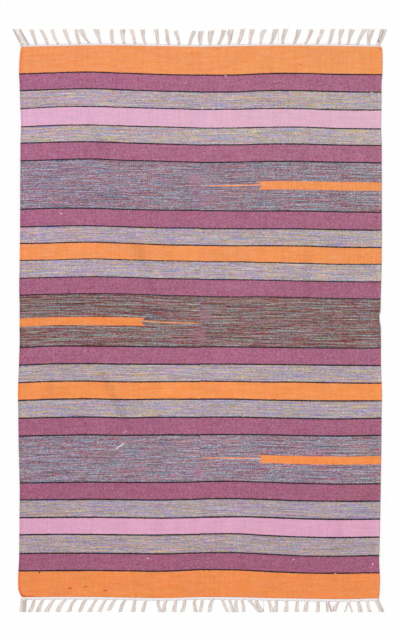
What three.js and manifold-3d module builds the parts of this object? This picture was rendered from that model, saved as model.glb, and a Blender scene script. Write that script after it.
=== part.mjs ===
// A flat-woven kilim rug of dyed cotton, lying flat, with a knotted warp fringe along both ends.
// Sizes are millimetres. X runs across the rug, Y along it, and Z up from the underside.

import * as THREE from 'three';
import { mergeVertices } from 'three/addons/utils/BufferGeometryUtils.js';
import Module from 'manifold-3d';

// The woven cloth
const clothWidth = 1200;
const clothLength = 1828;
const clothThickness = 4;
const edgeRoundingAbove = 1.5; // how far the upper face stops short of the outline
const edgeRoundingBelow = 1.2; // the same for the underside
const selvedgeWidth = 9; // the corded strip along each long edge
const selvedgeRise = 0.8;
const softRise = 0.3; // gentle unevenness of the upper face
const softWaveAcross = 410; // its wavelengths
const softWaveAlong = 530;

// The grid that carries the upper face
const columnStep = 60;
const longestRowStep = 60;
const selvedgeColumns = [1, 0.75, 0.5, 0.25, 0]; // as shares of the selvedge's width

// The warp fringe
const clothGap = 0.3; // between the cloth's end and the strip that the fringe grows from
const stripWidth = 5.5;
const stripHeight = 3;
const stripBevel = 0.2; // how far its sides lean in, as a share of its width
const knotWidth = 12.4;
const knotLength = 10;
const knotHeight = 4.8;
const knotSides = 6;
const knotShoulder = { out: 0.78, up: 0.8 }; // where its side turns over to its top, as shares
const knotOverlap = 2; // how far a knot sits back over the strip
const strandsInTassel = 3;
const strandWidth = 3.5;
const strandTopShare = 0.62; // the strand's upper face against its underside
const strandHeight = 2.8;
const strandPitchAtRoot = 3.6;
const strandPitchAtTip = 5.2;
const strandSections = 3;
const strandBow = 2.4; // how far a strand bends aside half way
const tipUnevenness = 1.6; // how far a cut tip strays from the trimmed line
const leanUnevenness = 3;
const neighbourTipGap = 1.2; // least space between the tips of two tassels

// The fixed unevenness: which of a tassel's measures it varies, and the numbers that make it wild
const leanChannel = 1;
const bowChannel = 2;
const tipChannel = 3;
const wildTurn = 12.9898;
const wildShift = 78.233;
const wildScale = 43758.5453;

const mergeTolerance = 1e-3;

// Colours
const clothColour = 0xb58a92;
const warpColour = 0xe3d6ca;
const clothRoughness = 0.92;
const warpRoughness = 0.88;

const halfWidth = clothWidth / 2;
const halfLength = clothLength / 2;

// How far each long edge strays outwards from half the width, by the distance along from the middle.
const sideTable = [
  { along: -914, left: -13, right: -10 },
  { along: -907, left: -3, right: -7.5 },
  { along: -895, left: 2, right: -6.5 },
  { along: -850, left: 4.5, right: -5 },
  { along: -790, left: 1.5, right: -7 },
  { along: -690, left: 0.5, right: -5 },
  { along: -550, left: -1.5, right: -2 },
  { along: -400, left: 2.5, right: -1 },
  { along: -300, left: 4.5, right: 0.5 },
  { along: -230, left: 5.5, right: 2 },
  { along: -145, left: 2.5, right: -1.5 },
  { along: -65, left: -0.5, right: -1.5 },
  { along: -5, left: -1, right: -4 },
  { along: 20, left: -1, right: -10 },
  { along: 45, left: -1, right: -3.5 },
  { along: 100, left: 0.5, right: -2 },
  { along: 200, left: 0, right: 1.5 },
  { along: 300, left: -2, right: 1.5 },
  { along: 600, left: -2.5, right: 1.5 },
  { along: 650, left: -5.5, right: -0.5 },
  { along: 710, left: -4, right: 0 },
  { along: 800, left: 0.5, right: 1 },
  { along: 825, left: 2, right: 4 },
  { along: 870, left: 1, right: 4 },
  { along: 907, left: -3, right: 2.5 },
  { along: 914, left: -6, right: -1.5 },
];

// How far each end strays outwards from half the length, by the distance across from the middle.
const endTable = [
  { across: -600, near: 0, far: -4 },
  { across: -420, near: -2, far: 0 },
  { across: -330, near: -1, far: 2 },
  { across: -135, near: 3, far: -1.5 },
  { across: 0, near: -1, far: -3.5 },
  { across: 100, near: -1, far: -2 },
  { across: 250, near: 3, far: 0.5 },
  { across: 450, near: 6, far: -1 },
  { across: 600, near: 3, far: -3.5 },
];

// Where the tassels stand along each end: how far a root has drifted from even spacing,
// and how far the trimmed tip lies to the right of the root.
const farTassels = [
  { across: -592, drift: 0, lean: -25 },
  { across: -557, drift: -16, lean: -26 },
  { across: -522, drift: -20, lean: -14 },
  { across: -450, drift: -17, lean: -21 },
  { across: -350, drift: -19, lean: -22 },
  { across: -280, drift: -11, lean: -8 },
  { across: -210, drift: -4, lean: -8 },
  { across: -72, drift: 1, lean: -11 },
  { across: -38, drift: 0, lean: 15 },
  { across: 30, drift: -3, lean: 5 },
  { across: 66, drift: -4, lean: 19 },
  { across: 135, drift: -13, lean: 14 },
  { across: 250, drift: -2, lean: 14 },
  { across: 377, drift: 6, lean: 23 },
  { across: 412, drift: 12, lean: 16 },
  { across: 516, drift: 6, lean: 18 },
  { across: 550, drift: 8, lean: 8 },
  { across: 585, drift: 0, lean: 20 },
];
const nearTassels = [
  { across: -587, drift: 0, lean: -4 },
  { across: -557, drift: 10, lean: -15 },
  { across: -494, drift: 7, lean: -21 },
  { across: -368, drift: 19, lean: -19 },
  { across: -271, drift: 18, lean: -13 },
  { across: -208, drift: 23, lean: -7 },
  { across: -177, drift: 31, lean: 11 },
  { across: -145, drift: 31, lean: -8 },
  { across: -18, drift: 26, lean: -2 },
  { across: 14, drift: 26, lean: -9 },
  { across: 46, drift: 26, lean: 16 },
  { across: 78, drift: 18, lean: 8 },
  { across: 109, drift: 8, lean: 6 },
  { across: 141, drift: -7, lean: 7 },
  { across: 173, drift: -12, lean: 24 },
  { across: 204, drift: -17, lean: 16 },
  { across: 268, drift: -17, lean: -4 },
  { across: 395, drift: -7, lean: 0 },
  { across: 458, drift: -4, lean: -8 },
  { across: 490, drift: 2, lean: 8 },
  { across: 585, drift: 0, lean: 18 },
];

const fringes = [
  { name: 'fringe_far', end: 'far', side: 1, tassels: 35, tipLine: 969, table: farTassels, seed: 10 },
  { name: 'fringe_near', end: 'near', side: -1, tassels: 38, tipLine: 961, table: nearTassels, seed: 20 },
];

// Reads a table's column at a place along its key column, going evenly from one row to the next.
function readTable(table, key, place, column) {
  const found = table.findIndex((row) => row[key] >= place);
  const above = found < 0 ? table.length - 1 : Math.max(1, found);
  const low = table[above - 1];
  const high = table[above];
  const share = THREE.MathUtils.clamp((place - low[key]) / (high[key] - low[key]), 0, 1);
  return THREE.MathUtils.lerp(low[column], high[column], share);
}

// A fixed unevenness between -1 and 1 for a counted thing, the same every time.
function unevenness(count, channel) {
  const wild = Math.sin(count * wildTurn + channel * wildShift) * wildScale;
  return 2 * (wild - Math.floor(wild)) - 1;
}

// The distance from the middle to a long edge, at a share of the half length.
function sideReach(v, column) {
  return halfWidth + readTable(sideTable, 'along', v * halfLength, column);
}

// The distance from the middle to an end, at a distance across.
function endReach(x, column) {
  return halfLength + readTable(endTable, 'across', x, column);
}

// A point of the cloth: u and v run from -1 to 1 across and along, and inset draws the outline in.
function clothPoint(u, v, inset, z) {
  const x = u * (sideReach(v, u < 0 ? 'left' : 'right') - inset);
  const y = v * (endReach(x, v < 0 ? 'near' : 'far') - inset);
  return [x, y, z];
}

// The height of the upper face: a cord along each selvedge, and a slow soft wave between them.
function faceHeight(u, v) {
  const fromEdge = (1 - Math.abs(u)) * halfWidth;
  const cord = Math.sin(Math.PI * Math.min(1, fromEdge / selvedgeWidth));
  const waveAcross = Math.sin((2 * Math.PI * u * halfWidth) / softWaveAcross);
  const waveAlong = Math.sin((2 * Math.PI * v * halfLength) / softWaveAlong);
  return clothThickness + selvedgeRise * cord + softRise * waveAcross * waveAlong;
}

// The columns as shares of the half width: even ones, then the close ones of the selvedge cord.
function columnPlaces() {
  const right = [];
  for (let x = columnStep; x < halfWidth - columnStep / 2; x += columnStep) {
    right.push(x);
  }
  for (const share of selvedgeColumns) {
    right.push(halfWidth - share * selvedgeWidth);
  }
  const left = right.map((x) => -x).reverse();
  return [...left, 0, ...right].map((x) => x / halfWidth);
}

// The rows as shares of the half length: one at each row of the side table, and steps between them.
function rowPlaces() {
  const rows = [sideTable[0].along];
  for (let i = 1; i < sideTable.length; i++) {
    const from = sideTable[i - 1].along;
    const to = sideTable[i].along;
    const steps = Math.ceil((to - from) / longestRowStep);
    for (let k = 1; k <= steps; k++) {
      rows.push(THREE.MathUtils.lerp(from, to, k / steps));
    }
  }
  return rows.map((y) => y / halfLength);
}

// The places on a grid's rim in order, anticlockwise from above.
function rimOf(us, vs) {
  const front = us.map((u) => [u, -1]);
  const right = vs.slice(1).map((v) => [1, v]);
  const back = [...us].reverse().slice(1).map((u) => [u, 1]);
  const left = [...vs].reverse().slice(1, -1).map((v) => [-1, v]);
  return [...front, ...right, ...back, ...left];
}

// A mesh from points and triangles, with the points that fall together joined.
function geometryFrom(points, triangles) {
  const geometry = new THREE.BufferGeometry();
  geometry.setAttribute('position', new THREE.Float32BufferAttribute(points.flat(), 3));
  geometry.setIndex(triangles.flat());
  const merged = mergeVertices(geometry, mergeTolerance);
  merged.computeVertexNormals();
  return merged;
}

// Joins two rings of the same length with a band of triangles, from the first ring to the second.
function bandBetween(first, second, count) {
  const triangles = [];
  for (let i = 0; i < count; i++) {
    const next = (i + 1) % count;
    triangles.push([first + i, first + next, second + next]);
    triangles.push([first + i, second + next, second + i]);
  }
  return triangles;
}

// The cloth: an uneven outline at mid height, the woven face above it and a flat underside.
function makeCloth() {
  const us = columnPlaces();
  const vs = rowPlaces();
  const rim = rimOf(us, vs);
  const face = vs.flatMap((v) => us.map((u) => clothPoint(u, v, edgeRoundingAbove, faceHeight(u, v))));
  const upper = rim.map(([u, v]) => clothPoint(u, v, edgeRoundingAbove, faceHeight(u, v)));
  const middle = rim.map(([u, v]) => clothPoint(u, v, 0, clothThickness / 2));
  const lower = rim.map(([u, v]) => clothPoint(u, v, edgeRoundingBelow, 0));
  const upperStart = face.length;
  const middleStart = upperStart + rim.length;
  const lowerStart = middleStart + rim.length;

  const triangles = [];
  for (let row = 0; row < vs.length - 1; row++) {
    for (let column = 0; column < us.length - 1; column++) {
      const a = row * us.length + column;
      const b = a + us.length;
      triangles.push([a, a + 1, b + 1], [a, b + 1, b]);
    }
  }
  triangles.push(...bandBetween(middleStart, upperStart, rim.length));
  triangles.push(...bandBetween(lowerStart, middleStart, rim.length));
  const contour = lower.map(([x, y]) => new THREE.Vector2(x, y));
  for (const [a, b, c] of THREE.ShapeUtils.triangulateShape(contour, [])) {
    triangles.push([lowerStart + a, lowerStart + c, lowerStart + b]);
  }
  return geometryFrom([...face, ...upper, ...middle, ...lower], triangles);
}

// The same sections, with each ring turned round where its faces would otherwise point inwards.
function facingOut(sections, turned) {
  return turned ? sections.map((ring) => [...ring].reverse()) : sections;
}

// A closed solid through a row of sections, each a ring of points in the same order.
function loft(sections) {
  const count = sections[0].length;
  const points = sections.flat();
  const triangles = [];
  for (let s = 0; s < sections.length - 1; s++) {
    triangles.push(...bandBetween(s * count, (s + 1) * count, count));
  }
  const last = (sections.length - 1) * count;
  for (let i = 1; i < count - 1; i++) {
    triangles.push([0, i + 1, i]);
    triangles.push([last, last + i, last + i + 1]);
  }
  return geometryFrom(points, triangles);
}

const wasm = await Module();
wasm.setup();

// A mesh as a solid that can be joined to others.
function solidOf(geometry) {
  const bare = geometry.clone();
  bare.deleteAttribute('normal');
  bare.deleteAttribute('uv');
  const merged = mergeVertices(bare, mergeTolerance);
  const vertProperties = new Float32Array(merged.attributes.position.array);
  const triVerts = new Uint32Array(merged.index.array);
  return new wasm.Manifold(new wasm.Mesh({ numProp: 3, vertProperties, triVerts }));
}

// A joined solid as a mesh again.
function geometryOf(solid) {
  const mesh = solid.getMesh();
  const geometry = new THREE.BufferGeometry();
  geometry.setAttribute('position', new THREE.Float32BufferAttribute(mesh.vertProperties, 3));
  geometry.setIndex(Array.from(mesh.triVerts));
  geometry.computeVertexNormals();
  return geometry;
}

// The strip along an end: a low bar with leaning sides that follows the cloth's edge, a gap away.
function stripGeometry(fringe) {
  const profile = [
    [0, 0],
    [1, 0],
    [1 - stripBevel, 1],
    [stripBevel, 1],
  ];
  const stations = columnPlaces().map((u) => clothPoint(u, fringe.side, 0, 0)[0]);
  const sections = stations.map((x) =>
    profile.map(([out, up]) => {
      const reach = endReach(x, fringe.end) + clothGap + out * stripWidth;
      return [x, fringe.side * reach, up * stripHeight];
    }),
  );
  return loft(facingOut(sections, fringe.side < 0));
}

// A knot: a low dome with a flat foot, half over the strip.
function knotGeometry(x, y) {
  const dome = [
    new THREE.Vector2(0, 0),
    new THREE.Vector2(1, 0),
    new THREE.Vector2(knotShoulder.out, knotShoulder.up),
    new THREE.Vector2(0, 1),
  ];
  const geometry = new THREE.LatheGeometry(dome, knotSides);
  geometry.rotateX(Math.PI / 2);
  geometry.scale(knotWidth / 2, knotLength / 2, knotHeight);
  geometry.translate(x, y, 0);
  return geometry;
}

// One strand: a low four-sided bar on the floor, from inside its knot to the trimmed line.
function strandGeometry(fringe, root, lean, place, start, tip, bow) {
  const sections = [];
  for (let s = 0; s < strandSections; s++) {
    const t = s / (strandSections - 1);
    const pitch = THREE.MathUtils.lerp(strandPitchAtRoot, strandPitchAtTip, t);
    const x = root + lean * t + place * pitch + bow * Math.sin(Math.PI * t);
    const y = fringe.side * THREE.MathUtils.lerp(start, tip, t);
    const half = strandWidth / 2;
    sections.push([
      [x - half, y, 0],
      [x + half, y, 0],
      [x + half * strandTopShare, y, strandHeight],
      [x - half * strandTopShare, y, strandHeight],
    ]);
  }
  return loft(facingOut(sections, fringe.side > 0));
}

// Roots and leans of the tassels along one end; a tip is moved on where it would lie on its neighbour.
function tasselsOf(fringe) {
  const first = fringe.table[0].across;
  const last = fringe.table[fringe.table.length - 1].across;
  const tasselWidth = (strandsInTassel - 1) * strandPitchAtTip + strandWidth;
  const tassels = [];
  let lastTip = -clothWidth;
  for (let i = 0; i < fringe.tassels; i++) {
    const even = THREE.MathUtils.lerp(first, last, i / (fringe.tassels - 1));
    const root = even + readTable(fringe.table, 'across', even, 'drift');
    const stray = leanUnevenness * unevenness(i, fringe.seed + leanChannel);
    const wanted = root + readTable(fringe.table, 'across', even, 'lean') + stray;
    const tip = Math.max(wanted, lastTip + tasselWidth + neighbourTipGap);
    tassels.push({ root, lean: tip - root });
    lastTip = tip;
  }
  return tassels;
}

// The fringe of one end: the strip, with a knot and a few strands for each tassel.
function makeFringe(fringe) {
  let solid = solidOf(stripGeometry(fringe));
  tasselsOf(fringe).forEach(({ root, lean }, i) => {
    const edge = endReach(root, fringe.end) + clothGap + stripWidth;
    const knotAt = edge - knotOverlap + knotLength / 2;
    solid = solid.add(solidOf(knotGeometry(root, fringe.side * knotAt)));
    const bow = strandBow * unevenness(i, fringe.seed + bowChannel);
    for (let k = 0; k < strandsInTassel; k++) {
      const place = k - (strandsInTassel - 1) / 2;
      const stray = tipUnevenness * unevenness(i * strandsInTassel + k, fringe.seed + tipChannel);
      const tip = fringe.tipLine + stray;
      solid = solid.add(solidOf(strandGeometry(fringe, root, lean, place, knotAt, tip, bow)));
    }
  });
  return geometryOf(solid);
}

const clothMaterial = new THREE.MeshStandardMaterial({
  color: clothColour,
  roughness: clothRoughness,
  metalness: 0,
});
const warpMaterial = new THREE.MeshStandardMaterial({
  color: warpColour,
  roughness: warpRoughness,
  metalness: 0,
});

const rug = new THREE.Group();
const body = new THREE.Mesh(makeCloth(), clothMaterial);
body.name = 'rug_body';
rug.add(body);
for (const fringe of fringes) {
  const mesh = new THREE.Mesh(makeFringe(fringe), warpMaterial);
  mesh.name = fringe.name;
  rug.add(mesh);
}

// The origin is under the middle of the whole rug, fringe and all.
const middle = new THREE.Box3().setFromObject(rug).getCenter(new THREE.Vector3());
rug.position.set(-middle.x, -middle.y, 0);

export default rug;
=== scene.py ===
import bpy
import numpy as np
from math import pi, radians, sin, cos, atan2, hypot
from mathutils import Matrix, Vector


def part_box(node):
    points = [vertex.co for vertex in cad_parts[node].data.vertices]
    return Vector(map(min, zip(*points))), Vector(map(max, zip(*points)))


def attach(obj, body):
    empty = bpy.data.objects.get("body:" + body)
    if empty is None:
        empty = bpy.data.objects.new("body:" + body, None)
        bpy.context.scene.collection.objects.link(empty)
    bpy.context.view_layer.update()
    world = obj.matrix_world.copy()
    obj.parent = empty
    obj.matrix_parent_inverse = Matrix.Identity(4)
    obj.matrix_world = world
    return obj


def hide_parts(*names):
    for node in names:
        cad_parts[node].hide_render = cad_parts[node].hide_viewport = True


# Kilim rug seen from straight above. All lengths in the tables are millimetres in the rug's own
# coordinates: across runs left to right, along runs from the near fringe to the far fringe.

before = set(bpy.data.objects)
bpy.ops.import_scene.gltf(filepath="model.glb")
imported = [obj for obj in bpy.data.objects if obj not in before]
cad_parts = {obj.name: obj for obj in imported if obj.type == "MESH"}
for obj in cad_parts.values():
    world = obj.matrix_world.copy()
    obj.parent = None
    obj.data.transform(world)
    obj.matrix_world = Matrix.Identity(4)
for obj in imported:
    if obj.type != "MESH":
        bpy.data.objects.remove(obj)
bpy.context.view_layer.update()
clothLow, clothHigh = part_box("rug_body")
print("solids loaded:", sorted(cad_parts))

toMetres = 0.001
seeded = np.random.default_rng(20)


shape = {
    "width": 1200.0,
    "length": 1828.0,
    "thickness": 4.0,
    "reachLeft": 605.5,  # how far the cloth comes out to the left of its own middle
    "reachFar": 915.42,  # and towards the far end
    "softRise": 0.3,  # the low swells of a cloth that lies flat
    "softWaveAcross": 410.0,
    "softWaveAlong": 530.0,
}

sideTable = np.array([  # along, left edge out, right edge out
    (-914, -11.5, -10.5), (-907, -1, -8), (-895, 4, -7), (-850, 5, -5.5), (-790, 1, -8.5),
    (-690, 0.5, -6), (-550, -1, -3.5), (-400, 3, -1), (-300, 4, -0.5), (-230, 5.5, 1),
    (-145, 2, -2.5), (-65, -1, -2.5), (-5, 0, -3.5), (20, -0.5, -9.5), (45, -1, -4), (100, 1, -3),
    (200, -0.5, 0), (300, -2, 0.5), (600, -3, 0), (650, -5, -2.5), (710, -2.5, -1), (800, 0, -0.5),
    (825, 2, 2.5), (870, 0.5, 3), (907, -3, 2.5), (914, -6, -1),
])

endTable = np.array([  # across, near end out, far end out
    (-600, 0, -4), (-420, -2, 0), (-330, -1, 2), (-135, 3, -1.5), (0, -1, -3.5),
    (100, -1, -2), (250, 3, 0.5), (450, 6, -1), (600, 3, -3.5),
])

# How far the wefts sag away from straight, towards the far end, where the beater packed them unevenly.
sagAcrossLeft = np.array([-600, -480, -370, -250, -120, 0.0])
sagAcrossRight = np.array([0.0, 120, 220, 340, 450, 600])
sagTable = np.array([  # along, sags at the six left places, sags at the six right places
    (-828, 2.5, 3, 3.5, 2.5, 1.5, 7, 6.5, 5.5, 1, -4.5, -5.5, -4),
    (-771, 3, 4, 4, 3, 2, 5, 5.5, 5.5, 1, -5, -6, -3.5),
    (-710, 2.5, 4.5, 4, 2.5, 2.5, 4, 5.5, 6, 0.5, -4.5, -6.5, -4.5),
    (-650, 1, 2, 2.5, 1, -0.5, 1.5, 2, 4, 2, -2.5, -4.5, -3.5),
    (-590, -0.5, 0, 1, 0, -1, 2, 3, 3.5, 0.5, -3.5, -5, -4.5),
    (-533, -1.5, 0, 1.5, 0.5, 0.5, 2, 3, 4, 1, -3, -5, -4),
    (-377, -2.5, 0, 1.5, 0, 1.5, 1, 2.5, 3, 2, -0.5, -2, 0.5),
    (-319, -1.5, 1.5, 3, 0.5, 2, 1.5, 2.5, 2.5, 0.5, -2, -3.5, -1),
    (-260, -2, 2, 3.5, 1, 2.5, 2, 2.5, 2, -0.5, -2.5, -3.5, -3),
    (-200, -2.5, 2.5, 3, 0.5, 1, 1.5, 3, 1.5, 0, -0.5, -3, -4),
    (-142, -2.5, 2, 2.5, 1, 1, 0, 1.5, 1, 0, -1, -2.5, -3.5),
    (-84, -2, 3.5, 2.5, 2, 0.5, -0.5, 1, 0.5, -1, -2.5, -3.5, -3),
    (82, 4.5, 7.5, 9, 8, 3.5, 0.5, 0, -2, -1.5, -4, -7, -8.5),
    (139, 4.5, 7, 9.5, 7.5, 3, 2, 0, -0.5, -2, -5, -7, -7.5),
    (198, 4, 6.5, 10, 6.5, 3.5, 2, 0.5, 0, -2.5, -5, -8, -8),
    (252, 5.5, 8, 10.5, 7, 1.5, 0, -0.5, -2, -1.5, -2.5, -6, -7.5),
    (309, 4.5, 7.5, 8.5, 5, 1.5, 0.5, -1, -1.5, -1.5, -2, -4.5, -6),
    (367, 4, 8, 7.5, 4, 1.5, 1.5, 0, -1, -1.5, -1.5, -4, -5.5),
    (530, 2, 5.5, 8.5, 3.5, 0.5, -3.5, -3.5, -2.5, 0, 0, -2.5, -4.5),
    (588, 2.5, 6.5, 7.5, 4, 0, -3, -3, -2.5, 0, 0, -3, -5),
    (643, 1, 6, 7.5, 4, 1, -2.5, -3, -2.5, 0, 0.5, -4, -6),
    (705, -1, 6, 7, 4, 0.5, -2.5, -2.5, -2, 0, -0.5, -4, -4.5),
    (764, 0.5, 5, 7.5, 3.5, -1, -3, -4, -3.5, 1, 0.5, -2.5, -4.5),
    (820, -0.5, 4, 6.5, 2.5, -2, -4, -4, -3.5, 1, 1.5, -1.5, -2),
])

middleX = clothLow.x + shape["reachLeft"] * toMetres
middleY = clothHigh.y - shape["reachFar"] * toMetres


def readTable(table, place, column):
    # The column's value at each place, on straight lines between the rows.
    return np.interp(place, table[:, 0], table[:, column])


def sideReach(along, column):
    # Half the width plus what the side table says: column 1 is the left edge, 2 the right edge.
    return shape["width"] / 2 + readTable(sideTable, along, column)


def throughKnots(place, knots, values):
    # A cubic between each pair of knots, whose slope at a knot is that between its neighbours:
    # values has a row for each line and a column for each knot, and so has the answer for each place.
    slopes = np.gradient(values, knots, axis=-1)
    left = np.clip(np.searchsorted(knots, place) - 1, 0, len(knots) - 2)
    span = knots[left + 1] - knots[left]
    t = np.clip((place - knots[left]) / span, 0, 1)
    rise = 3 * t**2 - 2 * t**3
    fromLeft = values[..., left] * (1 - rise) + slopes[..., left] * span * (t**3 - 2 * t**2 + t)
    fromRight = values[..., left + 1] * rise + slopes[..., left + 1] * span * (t**3 - t**2)
    return fromLeft + fromRight


def fullSagTable():
    # The sag table with a row for each end, which follows the end table.
    knots = np.concatenate([sagAcrossLeft, sagAcrossRight])
    half = shape["length"] / 2
    near = np.concatenate([[-half], -readTable(endTable, knots, 1)])
    far = np.concatenate([[half], readTable(endTable, knots, 2)])
    return np.vstack([near, sagTable, far])


def sagAt(across, along):
    # The sag at every crossing of the places across and along: cubic across, and straight along.
    table = fullSagTable()
    leftHalf = throughKnots(across, sagAcrossLeft, table[:, 1:7])
    rightHalf = throughKnots(across, sagAcrossRight, table[:, 7:13])
    lines = np.where(across < 0, leftHalf, rightHalf)
    row = np.clip(np.searchsorted(table[:, 0], along) - 1, 0, len(table) - 2)
    t = ((along - table[row, 0]) / (table[row + 1, 0] - table[row, 0]))[:, None]
    return (1 - t) * lines[row] + t * lines[row + 1]


def endEdge(across, side):
    # How far from the middle the cloth ends at each place across, at the far (1) or near (-1) end.
    half = shape["length"] / 2
    return half + side * sagAt(across, np.array([side * half]))[0]


def softRiseAt(x, y):
    # Low swells: a sine across times a sine along.
    across = np.sin(2 * pi * x / shape["softWaveAcross"])
    along = np.sin(2 * pi * y / shape["softWaveAlong"])
    return shape["softRise"] * across * along


def addMesh(name, points, faces, layers, mapName, mapping, material):
    # points in millimetres of the rug's own coordinates, faces as an array of triangles, layers as
    # numbers for each point or each face, mapping as two numbers for each point.
    placed = points * toMetres + np.array([middleX, middleY, 0.0])
    mesh = bpy.data.meshes.new(name)
    corners = faces.shape[1]
    mesh.vertices.add(len(placed))
    mesh.vertices.foreach_set("co", placed.astype(np.float32).ravel())
    mesh.loops.add(faces.size)
    mesh.loops.foreach_set("vertex_index", faces.astype(np.int32).ravel())
    mesh.polygons.add(len(faces))
    mesh.polygons.foreach_set("loop_start", np.arange(0, faces.size, corners, dtype=np.int32))
    mesh.polygons.foreach_set("use_smooth", np.ones(len(faces), dtype=bool))
    mesh.update(calc_edges=True)
    for layerName, values in layers.items():
        layer = mesh.attributes.new(layerName, "FLOAT", "POINT" if len(values) == len(points) else "FACE")
        layer.data.foreach_set("value", values.astype(np.float32))
    uv = mesh.uv_layers.new(name=mapName)
    uv.data.foreach_set("uv", mapping[faces.ravel()].astype(np.float32).ravel())
    mesh.validate()
    mesh.materials.append(material)
    piece = bpy.data.objects.new(name, mesh)
    bpy.context.scene.collection.objects.link(piece)
    print(name, "has", len(faces), "triangles")
    return piece


def linear(red, green, blue):
    # A colour of 0 to 255 a channel, as it looks on a screen, as the four numbers that a shader takes.
    channels = np.array([red, green, blue]) / 255
    curved = np.where(channels <= 0.04045, channels / 12.92, ((channels + 0.055) / 1.055) ** 2.4)
    return (*[float(c) for c in curved], 1.0)


class Wire:
    # One socket that gives a number, a colour or a vector. Sums and products of numbers add Math nodes.
    def __init__(self, paint, socket):
        self.paint = paint
        self.socket = socket

    def other(self, name):
        return Wire(self.paint, self.socket.node.outputs[name])

    def __add__(self, value):
        return self.paint.maths("ADD", self, value)

    def __sub__(self, value):
        return self.paint.maths("SUBTRACT", self, value)

    def __mul__(self, value):
        return self.paint.maths("MULTIPLY", self, value)

    def __truediv__(self, value):
        return self.paint.maths("DIVIDE", self, value)

    def __rsub__(self, value):
        return self.paint.maths("SUBTRACT", value, self)

    def __rtruediv__(self, value):
        return self.paint.maths("DIVIDE", value, self)

    def __pow__(self, value):
        return self.paint.maths("POWER", self, value)

    def __rpow__(self, value):
        return self.paint.maths("POWER", value, self)

    def __abs__(self):
        return self.paint.maths("ABSOLUTE", self)

    def __gt__(self, value):
        return self.paint.maths("GREATER_THAN", self, value)

    __radd__ = __add__
    __rmul__ = __mul__


class Paint:
    # One material's nodes. node() makes any node: its settings first, then its sockets' values or wires.
    def __init__(self, name):
        self.material = bpy.data.materials.new(name)
        self.material.use_nodes = True
        self.tree = self.material.node_tree
        self.shader = self.tree.nodes["Principled BSDF"]

    def node(self, kind, settings=None, sockets=None, output=0):
        made = self.tree.nodes.new(kind)
        for key, value in (settings or {}).items():
            setattr(made, key, value)
        for key, value in (sockets or {}).items():
            self.feed(made.inputs[key], value)
        return Wire(self, made.outputs[output])

    def feed(self, socket, value):
        if isinstance(value, Wire):
            self.tree.links.new(value.socket, socket)
        else:
            socket.default_value = value

    def maths(self, operation, first, second=0.0, third=0.0, clamp=False):
        values = {0: first, 1: second, 2: third}
        return self.node("ShaderNodeMath", {"operation": operation, "use_clamp": clamp}, values)

    def vectorMaths(self, operation, first, second=(0, 0, 0), third=(0, 0, 0)):
        return self.node("ShaderNodeVectorMath", {"operation": operation}, {0: first, 1: second, 2: third})

    def scaled(self, vector, number, added=(0, 0, 0)):
        # The vector times the number, plus another vector.
        return self.vectorMaths("MULTIPLY_ADD", vector, self.vector(number, number, number), added)

    def mix(self, factor, first, second):
        settings = {"data_type": "RGBA", "clamp_factor": True}
        return self.node("ShaderNodeMix", settings, {0: factor, 6: first, 7: second}, 2)

    def vector(self, x, y, z=0.0):
        return self.node("ShaderNodeCombineXYZ", None, {0: x, 1: y, 2: z})

    def ramp(self, place, stops, interpolation="LINEAR"):
        wire = self.node("ShaderNodeValToRGB", None, {0: place})
        ramp = wire.socket.node.color_ramp
        ramp.interpolation = interpolation
        while len(ramp.elements) < len(stops):
            ramp.elements.new(1.0)
        for element, (position, colour) in zip(ramp.elements, stops):
            element.position = position
            element.color = colour
        return wire

    def layer(self, name):
        # A number that the mesh carries for each point or face.
        return self.node("ShaderNodeAttribute", {"attribute_name": name}, None, "Fac")

    def noise(self, place, detail=2.0, roughness=0.5, scale=1.0):
        # Ranges round 0.5.
        sockets = {"Vector": place, "Scale": scale, "Detail": detail, "Roughness": roughness}
        return self.node("ShaderNodeTexNoise", {"noise_dimensions": "3D"}, sockets)

    def threeNoises(self, place, detail, roughness, gain):
        # Three unrelated noises in one vector, each round 0 and most of it within -1 and 1 at the right gain.
        settings = {"noise_dimensions": "3D", "normalize": False}
        sockets = {"Vector": place, "Scale": 1.0, "Detail": detail, "Roughness": roughness}
        made = self.node("ShaderNodeTexNoise", settings, sockets, "Color")
        return self.vectorMaths("MULTIPLY", made, (gain,) * 3)

    def threeSpecks(self, place, gain):
        # Three unrelated random numbers for each place, each round 0, as separate wires.
        made = self.node("ShaderNodeTexWhiteNoise", {"noise_dimensions": "3D"}, {"Vector": place}, "Color")
        centred = self.vectorMaths("SUBTRACT", made, (0.5,) * 3)
        return self.parts(self.vectorMaths("MULTIPLY", centred, (gain,) * 3))

    def parts(self, vector):
        split = self.node("ShaderNodeSeparateXYZ", None, {0: vector})
        return split, split.other("Y"), split.other("Z")

    def ease(self, value, low, high):
        # 0 up to low, 1 from high on, and smooth between; high may be the lower one.
        settings = {"interpolation_type": "SMOOTHSTEP", "clamp": True}
        return self.node("ShaderNodeMapRange", settings, {0: value, 1: low, 2: high, 3: 0.0, 4: 1.0})

    def spread(self, value, gain, offset=0.5):
        # Stretches a noise round its middle, so that it fills the range from 0 to 1.
        return self.maths("MULTIPLY_ADD", value - 0.5, gain, offset, clamp=True)

    def finish(self, constants, links):
        for name, value in constants.items():
            self.shader.inputs[name].default_value = value
        for name, wire in links.items():
            self.feed(self.shader.inputs[name], wire)
        return self.material


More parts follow.
